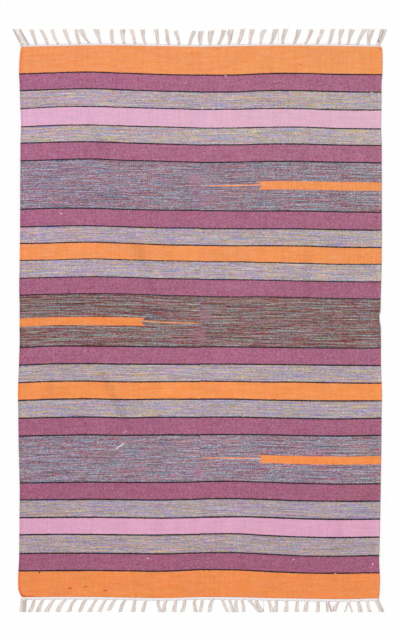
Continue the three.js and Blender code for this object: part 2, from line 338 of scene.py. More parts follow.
# Each dye is paler and lighter towards the far end: painted glare of the light there.
bands = [  # from the far end to the near end: dye, how it looks on a screen, where the band ends, and half
    # the width of the dark pin line that parts it from the next
    ("orange", (240, 151, 92), 820.0, 2.3),
    ("mauve", (168, 102, 131), 763.9, 2.2),
    ("paleMarl", (179, 161, 166), 705.1, 1.95),
    ("pink", (223, 174, 199), 643.5, 2.05),
    ("paleMarl", (181, 164, 166), 587.7, 2.2),
    ("mauve", (169, 104, 132), 530.2, 2.2),
    ("wideMarl", (146, 125, 139), 367.3, 2.25),
    ("mauve", (166, 101, 129), 308.6, 2.2),
    ("paleMarl", (176, 159, 165), 252.5, 2.15),
    ("orange", (238, 148, 89), 197.7, 1.75),
    ("paleMarl", (177, 160, 166), 138.9, 2.05),
    ("mauve", (163, 98, 125), 83.0, 1.9),
    ("darkMarl", (131, 103, 103), -84.6, 2.25),
    ("mauve", (166, 100, 128), -142.3, 2.5),
    ("paleMarl", (175, 158, 162), -200.4, 2.2),
    ("orange", (242, 147, 83), -259.6, 2.45),
    ("paleMarl", (173, 157, 163), -319.3, 2.35),
    ("mauve", (163, 97, 125), -377.2, 2.5),
    ("wideMarl", (146, 125, 140), -533.5, 2.3),
    ("mauve", (161, 95, 122), -590.4, 2.45),
    ("paleMarl", (170, 153, 160), -650.8, 2.65),
    ("pink", (220, 163, 192), -709.3, 2.5),
    ("paleMarl", (170, 152, 156), -771.5, 2.4),
    ("mauve", (159, 93, 120), -828.4, 2.45),
    ("orange", (237, 140, 78), -914.0, 0.0),
]
pinLines = [end for dye, look, end, half in bands[:-1]]
pinHalves = [half for dye, look, end, half in bands[:-1]]

cloth = {
    "ribPitch": 6.6,  # from one warp rib to the next
    "ribHeight": 0.34,
    "pickPitch": 3.4,  # from one weft row to the next
    "strandPitch": 1.7,  # each pick is two strands side by side
    "selvedgeWidth": 9.3,
    "selvedgeRise": 0.8,
    "edgeInsets": [0.0, 0.35, 1.1, 2.2, 4.5, 7.0],  # places of the columns by each side edge
    "endInsets": [0.0, 0.35, 1.1, 2.2, 4.5],
    "rowStep": 18.5,
    "columnsPerRib": 4,
    "undersideStep": 4,  # the underside keeps one column in four
}


def clothColumns():
    # Places across: close together by the side edges, then a few for each warp rib.
    ribs = shape["width"] / 2 - cloth["selvedgeWidth"]
    steps = int(round(2 * ribs / cloth["ribPitch"] * cloth["columnsPerRib"]))
    inner = np.linspace(-ribs, ribs, steps + 1)
    edge = shape["width"] / 2 - np.array(cloth["edgeInsets"])
    return np.concatenate([-edge, inner, edge[::-1]])


def clothRows():
    # Places along: one on each pin line, even steps between them, and close together by the ends.
    half = shape["length"] / 2
    edge = half - np.array(cloth["endInsets"])
    stops = np.concatenate([[-edge[-1]], pinLines[::-1], [edge[-1]]])
    parts = [-edge[:-1]]
    for low, high in zip(stops[:-1], stops[1:]):
        steps = max(2, int(round((high - low) / cloth["rowStep"])))
        parts.append(np.linspace(low, high, steps + 1)[:-1])
    return np.concatenate(parts + [edge[::-1]])


def rounded(inset):
    # A quarter circle from 0 at the edge to 1 at half the thickness inside it.
    share = np.clip(inset / (shape["thickness"] / 2), 0, 1)
    return np.sqrt(1 - (1 - share) ** 2)


def stitch(fine, coarse, kept):
    # Triangles between a row of all columns and a row of the kept ones: each fine step goes to the
    # nearest kept column but the two outermost, and where that changes, one triangle joins two kept columns.
    middle = np.arange(len(fine) - 1) + 0.5
    nearest = np.abs(middle[:, None] - kept[None, :]).argmin(axis=1)
    nearest = np.clip(nearest, 1, len(kept) - 2)
    steps = np.column_stack([fine[:-1], fine[1:], coarse[nearest]])
    passed = np.concatenate([[0], nearest, [len(kept) - 1]])
    turn = np.nonzero(np.diff(passed))[0]
    joins = np.column_stack([fine[turn], coarse[passed[turn + 1]], coarse[passed[turn]]])
    return np.concatenate([steps, joins])


def triangles(a, b, c):
    # One triangle for each place of three arrays of point numbers.
    return np.stack([a, b, c], axis=-1).reshape(-1, 3)


def quads(a, b, c, d):
    # Two triangles for each place of four arrays of point numbers.
    return np.concatenate([triangles(a, b, c), triangles(a, c, d)])


def gridFaces(grid):
    # The cells of a grid of point numbers: they face up when columns go right and rows go away.
    return quads(grid[:-1, :-1], grid[:-1, 1:], grid[1:, 1:], grid[1:, :-1])


def makeCloth(material):
    # A grid over across and along: x is across drawn out to the side table, y is along plus the sag, and
    # the height is the thickness plus swells, a cosine for each warp rib and half a sine for the selvedge
    # cords, rounded off at the rim. The underside is the same grid with fewer columns, sewn to the rim.
    across = clothColumns()
    along = clothRows()
    u = np.tile(across, (len(along), 1))
    v = np.tile(along[:, None], (1, len(across)))
    out = np.where(u < 0, sideReach(along, 1)[:, None], sideReach(along, 2)[:, None])
    x = u / (shape["width"] / 2) * out
    y = v + sagAt(across, along)
    sideInset = shape["width"] / 2 - np.abs(u)
    endInset = shape["length"] / 2 - np.abs(v)
    rim = rounded(np.minimum(sideInset, endInset))
    inRibs = sideInset > cloth["selvedgeWidth"] - 0.01
    wave = 0.5 * cloth["ribHeight"] * np.cos(2 * pi * u / cloth["ribPitch"])
    cord = cloth["selvedgeRise"] * np.sin(pi * np.clip(sideInset / cloth["selvedgeWidth"], 0, 1))
    rise = softRiseAt(x, y) + np.where(inRibs, wave, cord)
    half = shape["thickness"] / 2
    top = np.stack([x, y, half + rim * (half + rise)], axis=-1)
    edgeCount = len(cloth["edgeInsets"])
    ribsKept = np.arange(edgeCount, len(across) - edgeCount, cloth["undersideStep"])
    kept = np.concatenate([np.arange(edgeCount), ribsKept, np.arange(len(across) - edgeCount, len(across))])
    under = np.stack([x, y, half * (1 - rim)], axis=-1)[1:-1][:, kept[1:-1]]
    grid = np.arange(u.size).reshape(u.shape)
    underGrid = (u.size + np.arange(under.shape[0] * under.shape[1])).reshape(under.shape[:2])
    underGrid = np.column_stack([grid[1:-1, 0], underGrid, grid[1:-1, -1]])
    faces = np.concatenate([
        gridFaces(grid),
        gridFaces(underGrid)[:, ::-1],
        stitch(grid[0], underGrid[0], kept)[:, ::-1],
        stitch(grid[-1], underGrid[-1], kept),
    ])
    points = np.concatenate([top.reshape(-1, 3), under.reshape(-1, 3)])
    places = np.stack([u, v], axis=-1)
    places = np.concatenate([places.reshape(-1, 2), places[1:-1][:, kept[1:-1]].reshape(-1, 2)])
    distances = np.abs(places[:, 1][:, None] - np.array(pinLines)[None, :])
    fromPin = distances.min(axis=1)
    pinHalf = np.array(pinHalves)[distances.argmin(axis=1)]
    faceAlong = places[:, 1][faces].mean(axis=1)
    bandNumber = (faceAlong[:, None] < np.array(pinLines)[None, :]).sum(axis=1)
    layers = {
        "fromPin": fromPin * toMetres,
        "pinHalf": pinHalf * toMetres,
        "bandPlace": (bandNumber + 0.5) / len(bands),
    }
    return addMesh("woven_cloth", points, faces, layers, "weaveMap", places * toMetres, material)


def bandStops(colourOf):
    # Stops of a ramp that holds one colour for each band, from the far end to the near end.
    return [(number / len(bands), colourOf(dye, look)) for number, (dye, look, end, half) in enumerate(bands)]


# How each dye varies. Light, cool and rose are three pulls on red, green and blue, as shares of its light.
# The next rows say how much of each pull comes from one kind of unevenness: along a strand (streak, whose
# length is in millimetres), from float to float of one strand (speck) or of a whole pick (grain), down a
# warp rib (rib), and over several picks (swell).
# The two edges' numbers are pulls on red, green and blue along the left and right selvedge cords: the left
# one is painted shade on the cord's outer flank, and the right one lightens most dyes.
variety = {
    "orange": {
        "light": (0.014, 0.053, 0.130), "cool": (-0.023, -0.009, 0.029), "rose": (0.006, -0.015, 0.013),
        "streak": (0.45, 0.55, 0.55), "speck": (0.2, 0.2, 0.2), "grain": (0.95, 0.65, 0.65),
        "rib": (0.35, 0.3, 0.3), "swell": (0.65, 0.75, 0.75),
        "length": 100, "leftEdge": (-0.065, -0.135, -0.16), "rightEdge": (0.015, 0.01, 0.05),
    },
    "pink": {
        "light": (0.041, 0.048, 0.043), "cool": (-0.012, 0.018, -0.009), "rose": (0.007, -0.004, -0.014),
        "streak": (0.35, 0.8, 0.8), "speck": (0.2, 0.2, 0.2), "grain": (0.75, 0.35, 0.35),
        "rib": (0.38, 0.15, 0.15), "swell": (0.4, 0.6, 0.6),
        "length": 110, "leftEdge": (-0.1, -0.09, -0.11), "rightEdge": (0.025, 0.065, 0.03),
    },
    "mauve": {
        "light": (0.090, 0.140, 0.116), "cool": (-0.034, 0.042, 0.008), "rose": (0.014, 0.010, -0.026),
        "streak": (0.4, 0.55, 0.55), "speck": (0.5, 0.3, 0.3), "grain": (1.25, 1.1, 1.1),
        "rib": (0.2, 0.2, 0.2), "swell": (0.2, 0.3, 0.3),
        "length": 90, "leftEdge": (-0.15, -0.14, -0.15), "rightEdge": (0.03, 0.07, 0.02),
    },
    "paleMarl": {
        "light": (0.110, 0.117, 0.145), "cool": (-0.105, -0.069, 0.145), "rose": (-0.048, 0.068, -0.010),
        "streak": (1.1, 1.3, 1.04), "speck": (1.3, 0.8, 1.16), "grain": (0.4, 0.25, 0.25),
        "rib": (0.1, 0.05, 0.05), "swell": (0.1, 0.1, 0.1),
        "length": 100, "leftEdge": (-0.095, -0.095, -0.14), "rightEdge": (0.1, 0.08, 0.03),
    },
    "wideMarl": {
        "light": (0.124, 0.270, 0.250), "cool": (-0.153, 0.037, 0.055), "rose": (0.006, -0.060, 0.051),
        "streak": (1.15, 1.35, 0.75), "speck": (1.3, 0.8, 1.2), "grain": (0.4, 0.25, 0.15),
        "rib": (0.1, 0.05, 0.05), "swell": (0.1, 0.1, 0.1),
        "length": 100, "leftEdge": (-0.13, -0.14, -0.18), "rightEdge": (0.16, 0.12, 0.08),
    },
    "darkMarl": {
        "light": (0.145, 0.385, 0.380), "cool": (-0.160, 0.041, 0.058), "rose": (0.006, -0.078, 0.070),
        "streak": (1.4, 1.13, 0.92), "speck": (0.95, 0.85, 1.35), "grain": (0.3, 0.5, 0.3),
        "rib": (0.1, 0.05, 0.05), "swell": (0.05, 0.05, 0.05),
        "length": 140, "leftEdge": (-0.24, -0.3, -0.28), "rightEdge": (-0.05, -0.13, -0.14),
    },
}
longest = 200.0  # a ramp holds numbers from 0 to 1, so it carries each length as a share of this

# Half bars: the tail is how far out the bar begins, at nine places from its far edge to its near edge. The
# thin line's nudges are those at the middle join and at the tail, and it is paler from "paleFrom" outwards.
halfBars = [
    {
        "along": 451.5, "thick": 28, "side": 1, "colour": (240, 148, 89),
        "tail": (187, 190, 196.5, 201, 203.5, 202.5, 197, 193, 191),
        "line": 3.2, "lineNudges": (0.0, 2.6), "lineColour": (248, 156, 98), "paleFrom": 300,
    },
    {
        "along": -4.5, "thick": 26, "side": -1, "colour": (239, 142.5, 79.5),
        "tail": (186.5, 187.8, 191, 194.8, 196, 194, 190.9, 187.2, 184),
        "line": 3.0, "lineNudges": (-0.7, 2.6), "lineColour": (254, 165, 114), "paleFrom": 186,
    },
    {
        "along": -457.5, "thick": 26, "side": 1, "colour": (242, 143.5, 78),
        "tail": (193, 196, 201, 203.5, 204, 201.5, 198, 193, 195),
        "line": 3.6, "lineNudges": (2.2, 1.0), "lineColour": (255, 158, 92), "paleFrom": 150,
    },
]
barLook = {
    "light": (0.02, 0.072, 0.172),  # pulls on red, green and blue, as in the variety table
    "redStreak": (0.035, -0.025, -0.06),
    # painted shade along the left selvedge, as for the wefts
    "leftEdge": (-0.05, -0.01, -0.07),
    "rightEdge": (-0.03, -0.03, -0.03),
    "outerFrom": 545.0,
    "outer": (-0.05, -0.03, 0.02),
    "causes": (0.9, 0.6, 0.35),  # how much of its light comes from grain, swell and rib
    "wander": (0.22, 0.12),  # how far its edges stray with the strand and from float to float
    "softEdge": 0.5,
    "softLine": 0.4,
    "softPale": 10.0,
    "tailFrom": 180.0,  # a ramp holds the tail's places as shares of the span from here
    "tailSpan": 30.0,
    "bendEnd": 200.0,
    "lineStarts": (-3.0, 9.0, 30.0),  # the line is faint from the first place and full from the last
    "lineFirst": 0.6,  # how much of it is there at the second
    "lineStreak": (0.08, 0.1, 0.1),
    "paleLine": (234, 186, 162),
}

# Soft patches by the middle join, where the marl's strands are both mauve: across, along, half width, half
# length, colour as red, green and blue, strength.
calmPatches = [
    (-15, 471, 21, 19, 168, 130, 150, 0.82),
    (-22, 437, 18, 10, 160, 126, 144, 0.43),
    (38, 409, 22, 17, 160, 124, 140, 0.77),
    (12, 398, 16, 22, 163, 120, 140, 0.52),
    (17, 27, 21, 29, 152, 119, 124, 0.82),
    (6, -46, 11, 34, 154, 112, 122, 0.73),
    (-18, -42, 20, 24, 156, 112, 122, 0.52),
    (-12, -505, 16, 24, 163, 120, 141, 0.6),
    (24, -392, 14, 12, 162, 122, 142, 0.43),
]

# Painted shade along creases, painted light and shade of the cloth's low swells, and slow changes of the
# yarn's tone: across, along, half width, half length, turn, share.
paintedShadesAndTones = [
    (-250, 330, 18, 300, 19, -0.05),
    (-335, 600, 22, 60, 18, -0.07),
    (-188, 190, 20, 115, 16, -0.09),
    (-282, -260, 17, 160, 26, -0.13),
    (-325, -172, 24, 32, 26, -0.06),
    (353, 175, 16, 110, 0, -0.11),
    (-497, -210, 14, 68, 0, -0.06),
    (-134, -570, 15, 115, 0, -0.05),
    (462, -710, 20, 90, 0, -0.06),
    (363, 612, 18, 32, 0, -0.06),
    (106, -640, 26, 45, 0, 0.05),
    (-118, -210, 24, 75, 0, 0.05),
    (-18, -480, 26, 180, 0, 0.045),
    (-194, -650, 42, 60, 0, 0.035),
    (-60, -420, 70, 300, 0, 0.03),
    (105, -130, 85, 310, 0, 0.05),
    (200, 150, 70, 60, 0, 0.03),
    (-35, 225, 42, 90, 0, 0.045),
    (98, 575, 62, 115, 0, 0.025),
    (-520, -480, 180, 430, 0, -0.03),
    (-330, 570, 110, 95, 0, -0.025),
    (430, -40, 150, 170, 0, -0.028),
    (280, -650, 60, 50, 0, -0.025),
    (-310, 468, 330, 28, 0, 0.06),
    (-310, 404, 330, 28, 0, -0.06),
]
tintedShadesAndTones = [  # the same with separate shares of red, green and blue
    (310, 70, 340, 13, 0, 0.13, 0.06, 0.06),
    (420, 870, 120, 60, 0, -0.025, 0.0, 0.06),
    (-400, 45, 250, 30, 0, -0.13, -0.15, -0.17),
    (125, 114, 150, 24, 0, 0.08, 0.15, 0.14),
    (-450, 225, 180, 30, 0, 0.06, 0.06, 0.0),
    (75, -410, 90, 30, 0, 0.1, 0.05, 0.02),
    (530, -440, 90, 260, 0, 0.0, 0.0, -0.08),
    (400, -499, 120, 28, 0, -0.08, -0.09, -0.08),
]
# painted colour cast of the light over the far part
paintedLightCast = {  # the far part is more violet on the left and more yellow on the right
    "from": -60.0,
    "to": 330.0,
    "shares": (-0.015, 0.018, -0.045),
}

# Slubs, lint and small stains, and two strokes of painted shade on the rim at the near left corner: across
# and along from, across and along to, half width, colour as red, green and blue, strength.
flecks = [
    (-277, -421, -254, -405, 1.9, 236, 230, 234, 0.75),
    (-254, -369, -243, -361, 1.4, 226, 214, 222, 0.42),
    (-435, -886, -424, -885, 2.2, 152, 74, 50, 0.7),
    (-382, -881, -373, -880, 2.1, 160, 78, 52, 0.6),
    (-319, -893, -309, -892, 2.2, 152, 74, 50, 0.7),
    (328, 850, 333, 850, 1.8, 170, 100, 70, 0.6),
    (1.7, 884, 1.7, 906, 1.4, 206, 124, 84, 0.4),
    (81, 818, 84, 818, 1.5, 236, 226, 224, 0.8),
    (3, 707, 8, 707, 1.4, 226, 210, 206, 0.6),
    (18, 708, 21, 709, 1.5, 228, 212, 210, 0.6),
    (42, 708, 46, 706, 1.5, 230, 214, 212, 0.7),
    (566, 764, 570, 763, 1.5, 226, 210, 214, 0.7),
    (-276, 629, -271, 629, 1.8, 214, 104, 70, 0.8),
    (420, 708, 425, 708, 1.8, 70, 60, 72, 0.8),
    (-464, 349, -462, 349, 1.6, 240, 234, 236, 0.8),
    (-272, -870, -269, -869, 1.5, 170, 90, 60, 0.6),
    (-533, -829, -529, -836, 1.5, 52, 40, 46, 0.9),
    (-601, -34, -588, -37, 1.6, 58, 40, 46, 0.8),
    (590, 907, 602, 899, 2.5, 214, 92, 48, 0.6),
    # painted shade: the next two strokes deepen the orange where the rim rounds down at the near left corner
    (-601, -896, -592, -911, 4.5, 198, 88, 40, 0.6),
    (-594, -908, -556, -913, 3.0, 205, 96, 46, 0.5),
    (311, -784, 314, -784, 1.5, 238, 230, 234, 0.6),
    (577, -800, 580, -800, 1.6, 238, 230, 234, 0.7),
    (-176, -786, -173, -786, 1.5, 238, 230, 234, 0.6),
    (450, -829, 453, -830, 1.4, 232, 216, 206, 0.6),
    (-72, -846, -52, -896, 1.6, 222, 122, 68, 0.45),
    (505, -756, 480, -724, 1.2, 140, 122, 136, 0.35),
]


weftLook = {
    "strandShift": 7.31,  # from one strand's noise to the next
    "halfShift": 311.7,  # and from the left half's to the right half's
    "lastPick": -0.22,  # share of the streak of the pick before
    "streakNoise": (3.0, 0.75, 2.7),  # detail, roughness and gain
    "ribNoise": (1.0, 0.5, 3.2),
    "swellNoise": (2.0, 0.6, 3.0),
    "speckGain": 3.46,  # gives the random numbers a standard deviation of 1
    "ribShift": 5.3,
    "ribLength": 160.0,
    "swellAcross": 60.0,
    "swellAlong": 12.0,
    # along the left selvedge the tint is painted shade
    "leftEdge": (12.0, 3.0),  # where a selvedge's tint begins and is full, from the edge
    "rightEdge": (16.0, 8.0),
    "shadeRim": 1.5,
    "calmRim": 1.3,  # a calm patch ends here and is full at its core, as shares of its half width
    "calmCore": 0.6,
    "calmRagged": (0.16, 0.08),  # how far its rim strays with the strand and from float to float
    "calmSteady": 0.8,  # how much of the unevenness it takes away
    "joinColour": (156, 98, 130),
    "joinReach": (3.6, 1.2),  # from the join, where the turned wefts' colour begins and is full
    "joinRagged": 0.8,
    "joinLength": 22.0,
    "joinBroken": (0.42, 0.62),
    "joinShares": (0.08, 0.4),  # the least, and how much more at most
    "pinDark": (26, 16, 26),
    "pinGrey": (56, 52, 60),
    "pinShade": 0.35,
    "pinWander": (0.2, 0.3),
    "pinSoft": 0.35,
    "bitColour": (226, 214, 218),  # small light bits of the warp, or of lint, beside the pin lines
    "bitShare": 0.6,
    "bitAbove": 1.722,  # a float has one where its random number is above this
    "bitOuter": (4.6, 3.4),
    "bitInner": (1.2, 2.2),
    "softFleck": 0.8,
    "floatFlat": 0.8,
    "fibre": (0.9, 0.35),  # its size across and along
    "fibreNoise": (3.0, 0.6),
    "heights": (0.8, 0.25),  # of the float and of the fibre, as shares of the relief
    "relief": 0.5,
    "reliefStrength": 0.6,
    "roughness": (0.82, 0.16),
    "constants": {"Specular IOR Level": 0.22, "Sheen Weight": 0.1, "Sheen Roughness": 0.5},
}
screenCurve = 2.2


def patchMask(paint, across, along, patch, ragged):
    # 1 in the middle of an ellipse and less and less outwards, with a ragged rim.
    x, y, wide, long = patch
    dx = (across - x) / wide
    dy = (along - y) / long
    distance = (dx * dx + dy * dy) ** 0.5 + ragged
    return paint.ease(distance, weftLook["calmRim"], weftLook["calmCore"])


def sumOfShadesAndTones(paint, across, along):
    # Each soft shade is 1 in the middle of its turned ellipse and fades to 0 at its rim, which lies outside
    # the half width and half length by the rim's number. Most of them paint the shade of creases and the
    # light and shade of the cloth's low swells; the rest are slow changes of tone.
    total = (0.0, 0.0, 0.0)
    spot = paint.vector(across, along)
    greyShadesAndTones = [(*place, share, share, share) for *place, share in paintedShadesAndTones]
    for x, y, wide, long, turn, red, green, blue in greyShadesAndTones + tintedShadesAndTones:
        place = {"Location": (x, y, 0), "Rotation": (0, 0, radians(turn)), "Scale": (wide, long, 1)}
        local = paint.node("ShaderNodeMapping", {"vector_type": "TEXTURE"}, {"Vector": spot, **place})
        distance = paint.vectorMaths("LENGTH", local).other("Value")
        total = paint.scaled((red, green, blue), paint.ease(distance, weftLook["shadeRim"], 0.0), total)
    # painted colour cast of the light: more violet on the left and more yellow on the right of the far part
    drift = paint.ease(along, paintedLightCast["from"], paintedLightCast["to"]) * across / (shape["width"] / 2)
    return paint.scaled(paintedLightCast["shares"], drift, total)


def withEdges(paint, across, pull, leftEdge, rightEdge):
    # A pull plus the tints of the two selvedges, which fade inwards: painted shade along the left one, and a
    # tint of its own along the right one.
    edge = shape["width"] / 2
    leftIn, leftOut = weftLook["leftEdge"]
    rightIn, rightOut = weftLook["rightEdge"]
    pull = paint.scaled(leftEdge, paint.ease(across, leftIn - edge, leftOut - edge), pull)
    return paint.scaled(rightEdge, paint.ease(across, edge - rightIn, edge - rightOut), pull)


def strokeMask(paint, across, along, stroke):
    # A short stroke with round ends: 1 within half a width of the line between its two ends.
    x0, y0, x1, y1, half = stroke
    reach = hypot(x1 - x0, y1 - y0)
    angle = atan2(y1 - y0, x1 - x0)
    dx = across - (x0 + x1) / 2
    dy = along - (y0 + y1) / 2
    onLine = abs(dx * cos(angle) + dy * sin(angle)) - reach / 2
    beyond = paint.maths("MAXIMUM", onLine, 0.0)
    aside = dy * cos(angle) - dx * sin(angle)
    distance = (beyond * beyond + aside * aside) ** 0.5
    return paint.ease(distance, half + weftLook["softFleck"], half - weftLook["softFleck"])


def halfBarMask(paint, across, along, bar):
    # The bar runs from its selvedge to its tail, and a thin line from the tail to the middle join. The line
    # is off the bar's middle by its nudges, and bends from one to the other as the cube of its place.
    outward = across * bar["side"]
    offset = along - bar["along"]
    half = bar["thick"] / 2
    tailFrom, tailSpan = barLook["tailFrom"], barLook["tailSpan"]
    shares = [(place - tailFrom) / tailSpan for place in bar["tail"]]
    stops = [(step / (len(shares) - 1), (share, share, share, 1.0)) for step, share in enumerate(shares)]
    edge = paint.ramp(0.5 - offset / bar["thick"], stops) * tailSpan + tailFrom
    inBar = (outward > edge) * paint.ease(abs(offset), half + barLook["softEdge"], half - barLook["softEdge"])
    start, second, full = barLook["lineStarts"]
    first = barLook["lineFirst"]
    alongLine = paint.ease(outward, start, second) * first + paint.ease(outward, second, full) * (1 - first)
    atJoin, atTail = bar["lineNudges"]
    bend = paint.maths("MINIMUM", outward / barLook["bendEnd"], 1.0) ** 3.0
    fromLine = abs(offset - atJoin - bend * (atTail - atJoin))
    lineHalf = bar["line"] / 2
    inLine = alongLine * paint.ease(fromLine, lineHalf + barLook["softLine"], lineHalf - barLook["softLine"])
    return inBar, inLine


def fromTable(paint, bandPlace, numbersOf, low=0.0, high=1.0):
    # Three numbers for the band, each between low and high. A ramp holds numbers from 0 to 1, so it carries
    # them as shares of that range.
    def carried(dye, look):
        return (*[(number - low) / (high - low) for number in numbersOf(variety[dye])], 1.0)
    table = paint.ramp(bandPlace, bandStops(carried), "CONSTANT")
    return paint.vectorMaths("MULTIPLY_ADD", table, (high - low,) * 3, (low,) * 3)


def sharesOf(causes, place):
    # What a variety row says of each cause for one pull, filled up with zeros to three numbers.
    return lambda row: [row[name][place] for name, amounts in causes] + [0.0] * (3 - len(causes))


def sumOfPulls(paint, bandPlace, causes):
    # Each pull's three numbers times the sum of its causes, each times its share in the variety table.
    # causes has a row for each kind of unevenness: its name and the three amounts for light, cool and rose.
    total = (0, 0, 0)
    for place, pull in enumerate(("light", "cool", "rose")):
        amounts = [amounts[place] for name, amounts in causes]
        first = fromTable(paint, bandPlace, sharesOf(causes[:3], place), 0.0, 2.0)
        second = fromTable(paint, bandPlace, sharesOf(causes[3:], place), 0.0, 2.0)
        firstSum = paint.vectorMaths("DOT_PRODUCT", first, paint.vector(*amounts[:3])).other("Value")
        secondSum = paint.vectorMaths("DOT_PRODUCT", second, paint.vector(*amounts[3:])).other("Value")
        direction = fromTable(paint, bandPlace, lambda row: row[pull], -1.0, 1.0)
        total = paint.vectorMaths("MULTIPLY_ADD", direction, firstSum + secondSum, total)
    return total


def asLight(paint, pull):
    # What a pull does to a dye: 1 plus the pull as a share of how light it looks, to the power of the
    # screen's curve.
    def curved(part):
        return paint.maths("MAXIMUM", part / screenCurve + 1.0, 0.05) ** screenCurve
    return paint.vector(*[curved(part) for part in paint.parts(pull)])


def weftMaterial():
    # A dye for each band times its unevenness, and over it the half bars, the pin lines and the flecks.
    weft = weftLook
    paint = Paint("wovenWeft")
    place = paint.node("ShaderNodeUVMap", {"uv_map": "weaveMap"})
    split = paint.node("ShaderNodeSeparateXYZ", None, {0: place})
    across = split * 1000.0
    along = split.other("Y") * 1000.0
    fromPin = paint.layer("fromPin") * 1000.0
    bandPlace = paint.layer("bandPlace")

    # warp ribs, weft rows staggered by half a row on every other rib, and the strands of the weft
    rib = across / cloth["ribPitch"]
    ribNumber = paint.maths("FLOOR", rib + 0.5)
    odd = ribNumber - paint.maths("FLOOR", ribNumber * 0.5) * 2.0
    inRib = (rib - ribNumber) * 2.0
    row = along / cloth["pickPitch"] + odd * 0.5
    rowNumber = paint.maths("FLOOR", row)
    inRow = (row - rowNumber) * 2.0 - 1.0
    strandNumber = paint.maths("FLOOR", along / cloth["strandPitch"])
    pickNumber = paint.maths("FLOOR", along / cloth["pickPitch"])

    # streaks stop at the middle join, where the wefts of both halves turn back, and are a little unlike those
    # of the pick before; the light of a float changes at its crown
    rightHalf = across > 0.0
    lengthShare = fromTable(paint, bandPlace, lambda row: [row["length"] / longest] * 3)
    length = paint.parts(lengthShare)[0] * longest
    seed = strandNumber * weft["strandShift"] + rightHalf * weft["halfShift"]
    pickShift = 2 * weft["strandShift"]
    streaks = [paint.vector(across / length, seed - back, 3.7) for back in (0.0, pickShift)]
    ownStreak, lastStreak = [paint.threeNoises(streak, *weft["streakNoise"]) for streak in streaks]
    streak = paint.parts(paint.vectorMaths("MULTIPLY_ADD", lastStreak, (weft["lastPick"],) * 3, ownStreak))
    halfRib = paint.maths("FLOOR", rib * 2.0)
    gain = weft["speckGain"]
    crown = paint.threeSpecks(paint.vector(halfRib, strandNumber, pickNumber * 3.0), gain)
    speck = paint.threeSpecks(paint.vector(ribNumber, strandNumber, 5.0), gain)
    grain = paint.threeSpecks(paint.vector(ribNumber, pickNumber, 9.0), gain)
    crownGrain = paint.threeSpecks(paint.vector(halfRib, pickNumber, 13.0), gain)
    ribPlace = paint.vector(ribNumber * weft["ribShift"], along / weft["ribLength"], 17.1)
    ribStreak = paint.parts(paint.threeNoises(ribPlace, *weft["ribNoise"]))
    swellPlace = paint.vector(across / weft["swellAcross"], along / weft["swellAlong"], 23.0)
    swell = paint.parts(paint.threeNoises(swellPlace, *weft["swellNoise"]))
    causes = [
        ("streak", streak),
        ("speck", (crown[0], speck[1], speck[2])),
        ("grain", (crownGrain[0], grain[1], grain[2])),
        ("rib", ribStreak),
        ("swell", swell),
    ]
    pulled = sumOfPulls(paint, bandPlace, causes)
    streakLight, streakCool, streakRose = streak
    base = paint.ramp(bandPlace, bandStops(lambda dye, look: linear(*look)), "CONSTANT")

    # calm patches at the join, only in the wide bands
    def wideOnly(dye, look):
        return (1, 1, 1, 1) if dye in ("wideMarl", "darkMarl") else (0, 0, 0, 1)
    inWide = paint.ramp(bandPlace, bandStops(wideOnly), "CONSTANT") * 1.0
    fromStrand, fromFloat = weft["calmRagged"]
    ragged = streakRose * fromStrand + speck[2] * fromFloat
    calm = 0.0
    for *patch, red, green, blue, strength in calmPatches:
        mask = patchMask(paint, across, along, patch, ragged) * strength * inWide
        base = paint.mix(mask, base, linear(red, green, blue))
        calm = paint.maths("MAXIMUM", mask, calm)
    least, more = weft["joinShares"]
    patchy = paint.noise(paint.vector(0.0, along / weft["joinLength"], 41.0))
    broken = paint.ease(patchy, *weft["joinBroken"]) * more + least
    turnBack = paint.ease(abs(across) + grain[0] * weft["joinRagged"], *weft["joinReach"]) * inWide * broken
    base = paint.mix(turnBack, base, linear(*weft["joinColour"]))
    steady = 1.0 - calm * weft["calmSteady"]
    # painted shade of creases, painted light and shade of low swells, and slow changes of tone
    shadesAndTones = sumOfShadesAndTones(paint, across, along)
    # painted shade along the left selvedge
    leftEdge = fromTable(paint, bandPlace, lambda row: row["leftEdge"], -0.5, 0.5)
    rightEdge = fromTable(paint, bandPlace, lambda row: row["rightEdge"], -0.5, 0.5)
    pulled = paint.scaled(pulled, steady, withEdges(paint, across, shadesAndTones, leftEdge, rightEdge))
    colour = paint.vectorMaths("MULTIPLY", base, asLight(paint, pulled))

    # half bars of orange weft, whose edges wander by less than one strand
    byStrand, byFloat = barLook["wander"]
    wander = streakCool * byStrand + crown[2] * byFloat
    byGrain, bySwell, byRib = barLook["causes"]
    barAmount = crownGrain[0] * byGrain + swell[0] * bySwell + ribStreak[0] * byRib
    barPull = withEdges(paint, across, shadesAndTones, barLook["leftEdge"], barLook["rightEdge"])
    barPull = paint.scaled(barLook["light"], barAmount, barPull)
    barPull = paint.scaled(barLook["redStreak"], streakCool, barPull)
    outer = paint.ease(across, barLook["outerFrom"], shape["width"] / 2)
    barLight = asLight(paint, paint.scaled(barLook["outer"], outer, barPull))
    for bar in halfBars:
        inBar, inLine = halfBarMask(paint, across, along + wander, bar)
        soft = barLook["softPale"]
        pale = paint.ease(across * bar["side"], bar["paleFrom"] - soft, bar["paleFrom"] + soft)
        lineColour = paint.mix(pale, linear(*bar["lineColour"]), linear(*barLook["paleLine"]))
        lineLight = paint.scaled(barLook["lineStreak"], streakRose, (1.0, 1.0, 1.0))
        colour = paint.mix(inLine, colour, paint.vectorMaths("MULTIPLY", lineColour, lineLight))
        barColour = paint.vectorMaths("MULTIPLY", linear(*bar["colour"])[:3], barLight)
        colour = paint.mix(inBar, colour, barColour)

